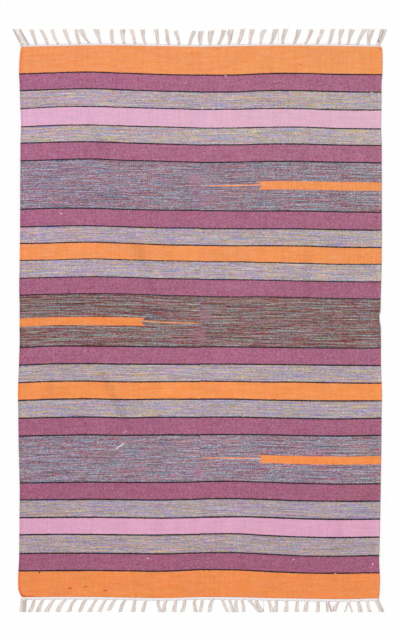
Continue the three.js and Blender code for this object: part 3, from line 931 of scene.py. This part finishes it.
    # pin lines, one dark pick wide, that bulge a little from float to float
    halfWidth = paint.layer("pinHalf") * 1000.0
    byStreak, byGrain = weft["pinWander"]
    halfWidth = halfWidth + streakLight * byStreak + crownGrain[1] * byGrain
    pin = paint.ease(fromPin - halfWidth, weft["pinSoft"], -weft["pinSoft"])
    shade = streakCool * weft["pinShade"] + crownGrain[2] * weft["pinShade"] + 0.5
    pinColour = paint.mix(shade, linear(*weft["pinDark"]), linear(*weft["pinGrey"]))
    colour = paint.mix(pin, colour, pinColour)
    beside = paint.ease(fromPin, *weft["bitOuter"]) * paint.ease(fromPin, *weft["bitInner"])
    bits = (crown[1] > weft["bitAbove"]) * beside
    colour = paint.mix(bits * weft["bitShare"], colour, linear(*weft["bitColour"]))

    for *stroke, red, green, blue, strength in flecks:
        mask = strokeMask(paint, across, along, stroke) * strength
        colour = paint.mix(mask, colour, linear(red, green, blue))

    # relief: each weft float is a low oval, with its strands and the twist of their yarn
    oval = paint.maths("MAXIMUM", 1.0 - inRib * inRib * weft["floatFlat"] - inRow * inRow, 0.0) ** 0.5
    wide, long = weft["fibre"]
    fibrePlace = paint.vector(across / wide, along / long, 5.0)
    fibre = paint.noise(fibrePlace, *weft["fibreNoise"])
    ofFloat, ofFibre = weft["heights"]
    height = oval * ofFloat + fibre * ofFibre
    sockets = {"Strength": weft["reliefStrength"], "Distance": weft["relief"] * toMetres, "Height": height}
    bump = paint.node("ShaderNodeBump", None, sockets)
    least, more = weft["roughness"]
    links = {"Base Color": colour, "Roughness": fibre * more + least, "Normal": bump}
    return paint.finish(weft["constants"], links)


wovenCloth = makeCloth(weftMaterial())
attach(wovenCloth, "root")
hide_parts("rug_body")
print("cloth woven")


fringeLook = {
    "headerCords": 3,
    "headerPitch": 2.3,  # from one twined header cord to the next; the first is half of it from the cloth
    "headerRadius": 0.85,
    "headerCircle": 0.55,
    "headerTurn": 9.0,  # length of one turn of the twined header
    "headerStep": 1.7,
    "headerInset": 1.5,  # from the side edge of the cloth
    "headerLift": 0.9,
    "headerSides": 6,
    "whiteTone": 4.0,
    "knotCentre": 9.4,  # from the cloth's edge
    "knotHalfWidth": 3.9,
    "knotHalfHeight": 1.35,
    "knotTurns": 2.2,
    "knotPitch": 2.7,
    "knotYarn": 1.05,
    "knotSteps": 28,
    "knotSides": 6,
    "knotWidths": (0.92, 1.12),  # least and most, as shares of the half width
    "yarnStart": 3.0,  # from the cloth's edge, under the header
    "yarnRadius": 1.22,
    "yarnRadii": (0.82, 1.12),  # least and most, as shares of the radius
    "tipSwell": 0.12,  # how much thicker a yarn is at its tip
    "curls": (0.8, 2.2),  # least and most half waves of a yarn's curl
    "raised": 1.3,  # how far every other yarn is lifted at its knot
    "darker": 1.4,  # how far a dark tassel's outer yarns go down in tone
    "lobes": 0.1,
    "yarnTwist": 22.0,
    "footPitch": 2.3,
    "neckPitch": 1.9,
    "tipPitch": 3.2,
    "steps": 24,
    "sides": 8,
    "tipUnevenness": 1.6,
    "leanUnevenness": 3.0,
    "bow": 2.4,
    "tipApart": 11.0,  # least distance from one tip to the next
    "clear": 0.06,  # least height above the floor
    "wisps": 90,  # fine stray fibres at one end of the rug
    "wispStarts": (0.3, 0.8),  # as shares of the tassel's length
    "wispLengths": (10, 24),
    "wispSteps": 9,
    "wispSides": 4,
    "wispRadius": 0.2,
    "wispBend": 7,
    "wispAside": 3.6,
    "wispHeights": (0.3, 0.9),  # at its ends, and how much more at most at its middle
    "threadSteps": 9,
    "threadSides": 6,
    "threadCurl": 0.5,
}

farTassels = np.array([  # across, drift of the root, lean of the tip
    (-592, 0, -25), (-557, -16, -26), (-522, -20, -14), (-450, -17, -21), (-350, -19, -22),
    (-280, -11, -8), (-210, -4, -8), (-72, 1, -11), (-38, 0, 15), (30, -3, 5), (66, -4, 19),
    (135, -13, 14), (250, -2, 14), (377, 6, 23), (412, 12, 16), (516, 6, 18), (550, 8, 8), (585, 0, 20),
])

nearTassels = np.array([
    (-587, 0, -4), (-557, 10, -15), (-494, 7, -21), (-368, 19, -19), (-271, 18, -13), (-208, 23, -7),
    (-177, 31, 11), (-145, 31, -8), (-18, 26, -2), (14, 26, -9), (46, 26, 16), (78, 18, 8),
    (109, 8, 6), (141, -7, 7), (173, -12, 24), (204, -17, 16), (268, -17, -4), (395, -7, 0),
    (458, -4, -8), (490, 2, 8), (585, 0, 18),
])

fringes = [  # the nudges shift single roots and tips, and a spread of 1 is an even tassel
    {
        "name": "far_fringe", "node": "fringe_far", "side": 1, "table": farTassels,
        "tassels": 35, "tipLine": 969.0, "seed": 10, "headerTone": 0.2,
        "rootNudges": [
            1, -2, -3, -2, -4, 2, 0, -2, -3, -1, -1, -3, -5, 0, 1, -1, 1, 3,
            2, -2, 1, 2, 2, -1, -3, -2, 0, 1, 3, 1, 2, -1, -3, -3, 3,
        ],
        "tipNudges": [
            0, -7, -3, -7, -5, 3, 10, -8, -4, 3, 2, -6, -7, 4, 3, -3, 3, -5,
            0, -4, -5, 2, 1, 1, 0, -9, -1, -1, -2, -4, -4, -6, 1, -3, -1,
        ],
        "spreads": [
            0.8, 0.8, 0.9, 0.7, 0.85, 0.8, 0.6, 1.25, 0.95, 0.8, 0.85, 0.9, 0.95, 0.8, 0.75, 0.95, 0.9, 1.2,
            1.25, 1.0, 0.95, 1.0, 1.05, 1.0, 1.05, 1.1, 0.95, 0.95, 0.9, 1.0, 0.9, 1.25, 1.0, 1.55, 1.2,
        ],
    },
    {
        "name": "near_fringe", "node": "fringe_near", "side": -1, "table": nearTassels,
        "tassels": 38, "tipLine": 961.0, "seed": 20, "headerTone": 2.6,
        "rootNudges": [
            0, -8, -9, -4, -2, -2, -2, -2, -2, -3, -1, -1, 0, 3, -3, -1, -2, 1, -4,
            -4, 0, -1, 0, 1, 1, -3, 6, -1, -2, 0, -2, 0, 0, 0, -2, -1, -2, -1,
        ],
        "tipNudges": [
            0, -7, -9, -4, -3, -3, -4, -3, -4, -8, -1, 2, 0, 2, -4, 3, -7, 7, -7,
            -5, 0, 4, -4, 2, 7, 2, 11, -1, -1, 2, -7, 0, 11, -3, -12, -7, -5, -2,
        ],
        "spreads": [
            0.85, 0.9, 1.0, 1.1, 1.0, 0.95, 0.85, 1.0, 0.9, 0.9, 0.85, 0.85, 0.85,
            0.75, 0.85, 0.9, 0.9, 0.85, 0.75, 0.8, 0.75, 0.75, 0.85, 0.8, 0.95, 0.75,
            0.85, 0.7, 0.9, 0.9, 1.05, 0.8, 1.1, 0.8, 0.8, 1.0, 0.95, 1.15,
        ],
    },
]

plainTassel = {  # how dark its outer yarns are, how far its halves part at the tip, how much shorter it is
    "dark": 0.0, "parting": 0.0, "short": 0.0, "neck": 1.0, "yarns": 5, "tones": None, "knot": None,
}

oddTassels = {  # what is unlike the plain tassel, by its number from the left
    "far_fringe": {
        0: {"parting": 1.0, "neck": 1.2, "tones": (-2.2, -1.4, 1.4, 2.8, 3.4), "knot": 2.0},
        1: {"parting": 1.5, "neck": 1.4, "tones": (3.2, 2.4, 1.0, -1.3, -2.2), "knot": 2.0},
        3: {"dark": 0.6}, 5: {"dark": 0.3}, 6: {"dark": 0.8}, 8: {"dark": 0.6, "parting": 1.5},
        9: {"dark": 0.4}, 10: {"dark": 0.8, "parting": 1.5}, 15: {"short": 5.0}, 16: {"short": 6.0},
        17: {"short": 6.0},
        18: {"dark": 0.3, "short": 5.0, "parting": 1.5}, 19: {"dark": 0.5, "short": 3.0},
        20: {"dark": 0.5, "parting": 1.5}, 26: {"dark": 0.5, "parting": 1.5}, 30: {"dark": 0.4},
        32: {"dark": 0.6}, 33: {"dark": 0.9, "parting": 1.0},
        34: {"neck": 1.1, "yarns": 6, "tones": (-1.9, 0.4, -0.4, -1.8, 0.4, -0.4), "knot": 5.0},
    },
    "near_fringe": {
        0: {"neck": 1.25, "yarns": 8, "tones": (-1.0, 0.2, 0.6, 0.2, -2.8, -0.5, -1.0, -1.9)},
        1: {"dark": 0.4}, 6: {"dark": 0.3}, 9: {"short": 6.0},
        13: {"dark": 0.7}, 14: {"dark": 0.4}, 21: {"dark": 0.9}, 22: {"dark": 0.4}, 25: {"dark": 0.6},
        26: {"dark": 0.4}, 27: {"dark": 0.6}, 31: {"dark": 0.3}, 32: {"dark": 1.0, "parting": 1.5},
        33: {"short": 3.0}, 34: {"parting": 9.0},
        37: {"neck": 1.3, "yarns": 6, "tones": (0.2, 0.6, 0.4, -0.6, -2.2, -0.8)},
    },
}

strayThreads = {  # single threads: x and y from, x and y to, radius, height of its underside, tone
    "far_fringe": [
        (258, 925, 257, 968, 0.45, 0.06, -2.0),
        # a brown slub in the far right corner, which paints the shade in the hole of the corner loop
        (588, 932, 592, 924, 0.8, 3.2, -6.0),
        (91, 962, 89, 948, 0.6, 2.4, -4.0),
        (-252, 967, -258, 958, 0.6, 2.4, -4.0),
    ],
    "near_fringe": [
        (209, 925, 210, 960, 0.45, 0.06, -2.0),
        (438, 940, 441, 960, 0.6, 2.4, -4.0),
    ],
}


def unevenness(count, channel):
    # A fixed number from -1 to 1 for each count: what is left of a large sine.
    wild = np.sin(count * 12.9898 + channel * 78.233) * 43758.5453
    return 2 * (wild - np.floor(wild)) - 1


def tasselPlaces(fringe):
    # Roots at even steps plus their drift, tips at the root plus the lean, never too near each other.
    table = fringe["table"]
    number = np.arange(fringe["tassels"])
    even = np.interp(number / (fringe["tassels"] - 1), [0, 1], [table[0, 0], table[-1, 0]])
    drifted = even + readTable(table, even, 1)
    stray = fringeLook["leanUnevenness"] * unevenness(number, fringe["seed"] + 1)
    wanted = drifted + readTable(table, even, 2) + stray + np.array(fringe["tipNudges"])
    apart = fringeLook["tipApart"]
    tip = np.maximum.accumulate(wanted - number * apart) + number * apart
    bow = fringeLook["bow"] * unevenness(number, fringe["seed"] + 2)
    return drifted + np.array(fringe["rootNudges"]), tip, bow


def unit(vectors):
    # Each vector divided by its length.
    return vectors / np.linalg.norm(vectors, axis=-1, keepdims=True)


def sweep(paths, radii, sides, tones, sideways=None, lobes=0.0, turn=1.0):
    # A ring of points round each path point: the centre plus radius times cosine sideways and sine upwards,
    # with three lobes that twist along the path, and a point at each end that closes it. The map has the
    # angle and the length along the yarn, and its seam is on the underside.
    tangent = unit(np.gradient(paths, axis=1))
    if sideways is None:
        sideways = np.cross(tangent, np.array([0.0, 0.0, 1.0]))
    sideways = unit(sideways)
    upwards = unit(np.cross(sideways, tangent))
    steps = np.linalg.norm(np.diff(paths, axis=1), axis=-1)
    length = np.concatenate([np.zeros((len(paths), 1)), np.cumsum(steps, axis=1)], axis=1)
    angle = 2 * pi * np.arange(sides) / sides - pi / 2
    twisted = angle[None, None, :] - 2 * pi * length[:, :, None] / turn
    radius = radii[:, :, None] * (1 + lobes * np.cos(3 * twisted))
    rings = paths[:, :, None, :] + radius[..., None] * (
        np.cos(angle)[None, None, :, None] * sideways[:, :, None, :]
        + np.sin(angle)[None, None, :, None] * upwards[:, :, None, :]
    )
    yarns, points = paths.shape[:2]
    ringNumber = np.arange(yarns * points * sides).reshape(yarns, points, sides)
    onward = np.roll(ringNumber, -1, axis=2)
    walls = quads(ringNumber[:, :-1], ringNumber[:, 1:], onward[:, 1:], onward[:, :-1])
    ends = yarns * points * sides + np.arange(2 * yarns).reshape(yarns, 2)
    first = np.broadcast_to(ends[:, 0][:, None], (yarns, sides))
    last = np.broadcast_to(ends[:, 1][:, None], (yarns, sides))
    startCap = triangles(ringNumber[:, 0], onward[:, 0], first)
    endCap = triangles(onward[:, -1], ringNumber[:, -1], last)
    vertices = np.concatenate([rings.reshape(-1, 3), paths[:, [0, -1]].reshape(-1, 3)])
    around = np.broadcast_to((angle[None, None, :] + pi / 2) / (2 * pi), radius.shape)
    lengthwise = np.broadcast_to(length[:, :, None] * toMetres, radius.shape)
    mapping = np.stack([around, lengthwise], axis=-1).reshape(-1, 2)
    capMap = np.stack([np.full((yarns, 2), 0.5), length[:, [0, -1]] * toMetres], axis=-1).reshape(-1, 2)
    return {
        "points": vertices,
        "faces": np.concatenate([walls, startCap, endCap]),
        "mapping": np.concatenate([mapping, capMap]),
        "tone": np.concatenate([np.repeat(tones, points * sides), np.repeat(tones, 2)]),
    }


def joinParts(parts):
    # One list of points and faces from several.
    offsets = np.cumsum([0] + [len(part["points"]) for part in parts[:-1]])
    faces = np.concatenate([part["faces"] + offset for part, offset in zip(parts, offsets)])
    joined = {key: np.concatenate([part[key] for part in parts]) for key in ("points", "mapping", "tone")}
    return {**joined, "faces": faces}


def headerCords(fringe):
    # Twined cords side by side along the cloth's edge: each has two yarns that circle its middle. The
    # outermost one is greyer, as painted shade that draws a thin shadow line along the header, and the others
    # are the white of new cotton.
    endRow = sideTable[-1 if fringe["side"] > 0 else 0]
    left = -shape["width"] / 2 - endRow[1] + fringeLook["headerInset"]
    right = shape["width"] / 2 + endRow[2] - fringeLook["headerInset"]
    x = np.arange(left, right, fringeLook["headerStep"])
    circle = fringeLook["headerCircle"]
    radius = fringeLook["headerRadius"]
    parts = []
    for cord in range(fringeLook["headerCords"]):
        out = fringeLook["headerPitch"] * (cord + 0.5)
        outermost = cord == fringeLook["headerCords"] - 1
        for ply in range(2):
            turn = 2 * pi * (x / fringeLook["headerTurn"] + 0.5 * ply) * (1 - 2 * (cord % 2))
            y = fringe["side"] * (endEdge(x, fringe["side"]) + out + circle * np.cos(turn))
            z = radius + circle + fringeLook["clear"] + fringeLook["headerLift"] + circle * np.sin(turn)
            path = np.stack([x, y, z], axis=-1)[None]
            # the outermost cord's greyer tone is painted shade
            tone = np.array([fringe["headerTone"] if outermost else fringeLook["whiteTone"]])
            parts.append(sweep(path, np.full((1, len(x)), radius), fringeLook["headerSides"], tone))
    return joinParts(parts)


def tasselRow(fringe, number):
    # The plain tassel's values, and in their place this one's own where it has any.
    return {**plainTassel, **oddTassels[fringe["name"]].get(number, {})}


def tasselYarns(fringe):
    # Each yarn runs from under the header through its knot to the tip line: x is the tassel's line plus the
    # yarn's place times a spread that narrows at the knot and widens to the tip, plus a slow curl.
    root, tip, bow = tasselPlaces(fringe)
    t = np.linspace(0, 1, fringeLook["steps"])
    paths = []
    radii = []
    tones = []
    for number in range(fringe["tassels"]):
        odd = tasselRow(fringe, number)
        count = odd["yarns"]
        spread = fringe["spreads"][number]
        edge = float(endEdge(np.array([root[number]]), fringe["side"])[0])
        places = np.arange(count) - (count - 1) / 2
        ragged = fringeLook["tipUnevenness"] * unevenness(3 * number + places, fringe["seed"] + 3)
        ends = fringe["tipLine"] - odd["short"] + ragged
        start = edge + fringeLook["yarnStart"]
        knot = edge + fringeLook["knotCentre"]
        y = start + (ends[:, None] - start) * t[None, :]
        past = np.clip((y - knot) / (ends[:, None] - knot), 0, 1)
        before = np.clip((knot - y) / (knot - start), 0, 1)
        neck = fringeLook["neckPitch"] * odd["neck"]
        pitch = neck + (fringeLook["tipPitch"] * spread - neck) * past**1.3
        pitch = pitch + (fringeLook["footPitch"] - fringeLook["neckPitch"]) * before
        amount = seeded.uniform(-1, 1, (count, 1))
        curl = amount * np.sin(pi * past * seeded.uniform(*fringeLook["curls"], (count, 1)))
        line = root[number] + (tip[number] - root[number]) * past + bow[number] * np.sin(pi * past)
        apart = odd["parting"] * np.where(places < 0, -1, 1)[:, None] * past
        x = line + places[:, None] * pitch + apart + curl
        radius = fringeLook["yarnRadius"] * seeded.uniform(*fringeLook["yarnRadii"], (count, 1))
        radius = radius * (1 + fringeLook["tipSwell"] * past**6)
        raised = (np.arange(count) % 2)[:, None] * (1 - past**1.5) * fringeLook["raised"]
        z = radius * (1 + fringeLook["lobes"]) + fringeLook["clear"] + raised
        paths.append(np.stack([x, fringe["side"] * y, z], axis=-1))
        radii.append(np.broadcast_to(radius, x.shape))
        outer = np.abs(places) == 2
        mixed = seeded.uniform(-1, 1, count) - fringeLook["darker"] * odd["dark"] * outer
        tones.append(mixed if odd["tones"] is None else np.array(odd["tones"]))
    return sweep(
        np.concatenate(paths), np.concatenate(radii), fringeLook["sides"], np.concatenate(tones),
        lobes=fringeLook["lobes"], turn=fringeLook["yarnTwist"],
    )


def tasselKnots(fringe):
    # A coil round each neck: the angle turns while the place moves outward by one pitch a turn.
    root, tip, bow = tasselPlaces(fringe)
    edge = endEdge(root, fringe["side"])
    turns = fringeLook["knotTurns"]
    t = np.linspace(-0.5, 0.5, fringeLook["knotSteps"])[None, :]
    angle = seeded.uniform(0, 2 * pi, (len(root), 1)) + 2 * pi * turns * t
    odds = [tasselRow(fringe, number) for number in range(len(root))]
    share = np.array([odd["neck"] * odd["yarns"] / plainTassel["yarns"] for odd in odds])[:, None]
    wide = fringeLook["knotHalfWidth"] * seeded.uniform(*fringeLook["knotWidths"], (len(root), 1)) * share
    mixed = seeded.uniform(-1, 1, len(root))
    tones = np.array([tone if odd["knot"] is None else odd["knot"] for tone, odd in zip(mixed, odds)])
    tall = fringeLook["knotHalfHeight"]
    x = root[:, None] + wide * np.cos(angle)
    y = fringe["side"] * ((edge + fringeLook["knotCentre"])[:, None] + turns * fringeLook["knotPitch"] * t)
    yarn = fringeLook["knotYarn"]
    z = tall + yarn + fringeLook["clear"] + tall * np.sin(angle)
    paths = np.stack([x, y, z], axis=-1)
    outward = np.stack([np.cos(angle) * tall, np.zeros_like(angle), np.sin(angle) * wide], axis=-1)
    return sweep(paths, np.full(x.shape, yarn), fringeLook["knotSides"], tones, sideways=outward)


def strayWisps(fringe):
    # Fine fibres that lie beside the tassels: each a short line that bends aside as the square of its length.
    root, tip, bow = tasselPlaces(fringe)
    count = fringeLook["wisps"]
    chosen = seeded.integers(0, len(root), count)
    along = seeded.uniform(*fringeLook["wispStarts"], (count, 1))
    length = seeded.uniform(*fringeLook["wispLengths"], (count, 1))
    edge = endEdge(root, fringe["side"])[chosen][:, None] + fringeLook["knotCentre"]
    line = (root + (tip - root) * 0.5)[chosen][:, None]
    lean = ((tip - root) / (fringe["tipLine"] - endEdge(root, fringe["side"])))[chosen][:, None]
    t = np.linspace(0, 1, fringeLook["wispSteps"])[None, :]
    reach = fringe["tipLine"] - 1.0 - edge
    y = np.minimum(edge + along * reach + length * t, fringe["tipLine"] + 0.5 - 2 * seeded.random((count, 1)))
    y = y + 0.02 * t
    aside = seeded.uniform(-fringeLook["wispBend"], fringeLook["wispBend"], (count, 1))
    side = np.sign(aside) * fringeLook["wispAside"]
    x = line + lean * (y - edge - 0.5 * reach) + side + aside * t**2
    low, more = fringeLook["wispHeights"]
    z = low + fringeLook["clear"] + more * np.sin(pi * t) * seeded.random((count, 1))
    paths = np.stack([x, fringe["side"] * y, z], axis=-1)
    radii = np.full(x.shape, fringeLook["wispRadius"])
    return sweep(paths, radii, fringeLook["wispSides"], seeded.uniform(0, 1, count))


def looseThreads(fringe):
    # A straight thread with a slight curl, from one place to another, for each row of its table.
    parts = []
    t = np.linspace(0, 1, fringeLook["threadSteps"])
    for x0, y0, x1, y1, radius, height, tone in strayThreads[fringe["name"]]:
        x = x0 + (x1 - x0) * t + fringeLook["threadCurl"] * np.sin(2 * pi * t)
        y = y0 + (y1 - y0) * t
        path = np.stack([x, fringe["side"] * y, np.full_like(t, radius + height)], axis=-1)[None]
        parts.append(sweep(path, np.full((1, len(t)), radius), fringeLook["threadSides"], np.array([tone])))
    return joinParts(parts)


yarnLook = {
    "tanColour": (237, 224, 215),  # a yarn at tone -1
    "creamColour": (249, 242, 238),  # and at tone 1
    "mottleColour": (233, 216, 205),
    "darkColour": (168, 146, 136),
    "brownColour": (104, 78, 68),
    "whiteColour": (249, 248, 254),
    "grooveShadeColour": (212, 194, 185),
    "mottleShare": 0.3,
    "darkShare": 0.75,
    "brownShare": 0.8,
    "grooveShadeShare": 0.3,
    "dark": (-0.7, -2.4),  # the tones where each colour begins and is full
    "brown": (-3.0, -5.0),
    "white": (1.2, 4.0),
    "twist": 3.2,  # length of one turn of the yarn's strands
    "fuzz": (3.0, 0.65, 900.0),  # detail, roughness and scale
    "mottle": (2.0, 0.5, 60.0),
    "heights": (0.7, 0.5),  # of the twist and of the fuzz, as shares of the relief
    "relief": 0.4,
    "reliefStrength": 0.7,
    "roughness": (0.82, 0.15),
    "constants": {"Specular IOR Level": 0.2, "Sheen Weight": 0.1, "Sheen Roughness": 0.5},
}


def yarnMaterial():
    # Undyed cotton: tan to cream from yarn to yarn, with painted shade in the grooves of the twist, and
    # nearly white where the tone is well above 1, as in the header.
    yarn = yarnLook
    paint = Paint("undyedCottonYarn")
    place = paint.node("ShaderNodeUVMap", {"uv_map": "yarnMap"})
    split = paint.node("ShaderNodeSeparateXYZ", None, {0: place})
    tone = paint.layer("yarnTone")
    lengthwise = split.other("Y") * 1000.0
    twist = paint.maths("SINE", (split * 2.0 - lengthwise / yarn["twist"]) * (2 * pi)) * 0.5 + 0.5
    solidPlace = paint.node("ShaderNodeTexCoord", None, None, "Object")
    fuzz = paint.noise(solidPlace, *yarn["fuzz"])
    mottle = paint.noise(solidPlace, *yarn["mottle"])
    white = paint.ease(tone, *yarn["white"])
    dark = paint.ease(tone, *yarn["dark"])
    colour = paint.mix(paint.ease(tone, -1.0, 1.0), linear(*yarn["tanColour"]), linear(*yarn["creamColour"]))
    mottled = paint.spread(mottle, 2.5) * yarn["mottleShare"]
    colour = paint.mix(mottled, colour, linear(*yarn["mottleColour"]))
    colour = paint.mix(dark * yarn["darkShare"], colour, linear(*yarn["darkColour"]))
    brown = paint.ease(tone, *yarn["brown"]) * yarn["brownShare"]
    colour = paint.mix(brown, colour, linear(*yarn["brownColour"]))
    colour = paint.mix(white, colour, linear(*yarn["whiteColour"]))
    # painted shade in the grooves of the twist, less on the white yarns
    grooveShade = (1.0 - twist) * (yarn["grooveShadeShare"] - white * 0.2)
    colour = paint.mix(grooveShade, colour, linear(*yarn["grooveShadeColour"]))
    ofTwist, ofFuzz = yarn["heights"]
    height = twist * ofTwist + fuzz * ofFuzz
    sockets = {"Strength": yarn["reliefStrength"], "Distance": yarn["relief"] * toMetres, "Height": height}
    bump = paint.node("ShaderNodeBump", None, sockets)
    least, more = yarn["roughness"]
    links = {"Base Color": colour, "Roughness": fuzz * more + least, "Normal": bump}
    return paint.finish(yarn["constants"], links)


cottonYarn = yarnMaterial()
for fringe in fringes:
    makers = [headerCords, tasselYarns, tasselKnots, strayWisps, looseThreads]
    part = joinParts([make(fringe) for make in makers])
    piece = addMesh(
        fringe["name"], part["points"], part["faces"], {"yarnTone": part["tone"]},
        "yarnMap", part["mapping"], cottonYarn,
    )
    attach(piece, "root")
    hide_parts(fringe["node"])
print("fringes knotted")


studio = {
    "floorSide": 600.0,  # in metres, so that its edges are out of sight
    "floorColour": (252, 252, 252),
    "skyStrength": 0.57,
    "sunStrength": 1.9,
    "sunAngle": 34.0,  # degrees across, so that its shadows are soft
    "sunFrom": (-0.42, 0.5, 0.76),
    "lens": 85.0,
    "sensor": 36.0,
    "pictureTall": 640,
    "pixel": 3.315,  # millimetres of the rug for one pixel of the photograph
    "pictureCentre": (-0.5, 1.5),  # pixels from the rug's own middle, to the right and up
}


def makeFloor():
    # One large square at height 0.
    half = studio["floorSide"] / 2
    mesh = bpy.data.meshes.new("floor")
    corners = [(-half, -half, 0), (half, -half, 0), (half, half, 0), (-half, half, 0)]
    mesh.from_pydata(corners, [], [(0, 1, 2, 3)])
    paint = Paint("paleFloor")
    place = paint.node("ShaderNodeTexCoord", None, None, "Object")
    grain = paint.noise(place, 2.0, 0.5, 3.0)
    colour = paint.mix(grain, linear(*studio["floorColour"]), linear(250, 250, 250))
    mesh.materials.append(paint.finish({"Roughness": 0.9, "Specular IOR Level": 0.1}, {"Base Color": colour}))
    floor = bpy.data.objects.new("floor", mesh)
    bpy.context.scene.collection.objects.link(floor)


def makeLight():
    # An even white sky, and one wide sun from the upper left.
    world = bpy.data.worlds.new("studio")
    world.use_nodes = True
    world.node_tree.nodes["Background"].inputs["Color"].default_value = (1, 1, 1, 1)
    world.node_tree.nodes["Background"].inputs["Strength"].default_value = studio["skyStrength"]
    bpy.context.scene.world = world
    sun = bpy.data.lights.new("softSun", "SUN")
    sun.energy = studio["sunStrength"]
    sun.angle = radians(studio["sunAngle"])
    holder = bpy.data.objects.new("softSun", sun)
    holder.rotation_euler = Vector(studio["sunFrom"]).to_track_quat("Z", "Y").to_euler()
    bpy.context.scene.collection.objects.link(holder)


def makeCamera():
    # Looks straight down from where a picture as tall as the photograph's covers the same strip of floor.
    tall = studio["pictureTall"] * studio["pixel"] * toMetres
    camera = bpy.data.cameras.new("camera")
    camera.lens = studio["lens"]
    camera.sensor_width = studio["sensor"]
    camera.sensor_fit = "AUTO"
    holder = bpy.data.objects.new("camera", camera)
    right, up = studio["pictureCentre"]
    holder.location = (
        middleX + right * studio["pixel"] * toMetres,
        middleY + up * studio["pixel"] * toMetres,
        tall * studio["lens"] / studio["sensor"],
    )
    bpy.context.scene.collection.objects.link(holder)
    bpy.context.scene.camera = holder


makeFloor()
makeLight()
makeCamera()
bpy.context.scene.view_settings.view_transform = "Standard"
print("floor, light and camera set")
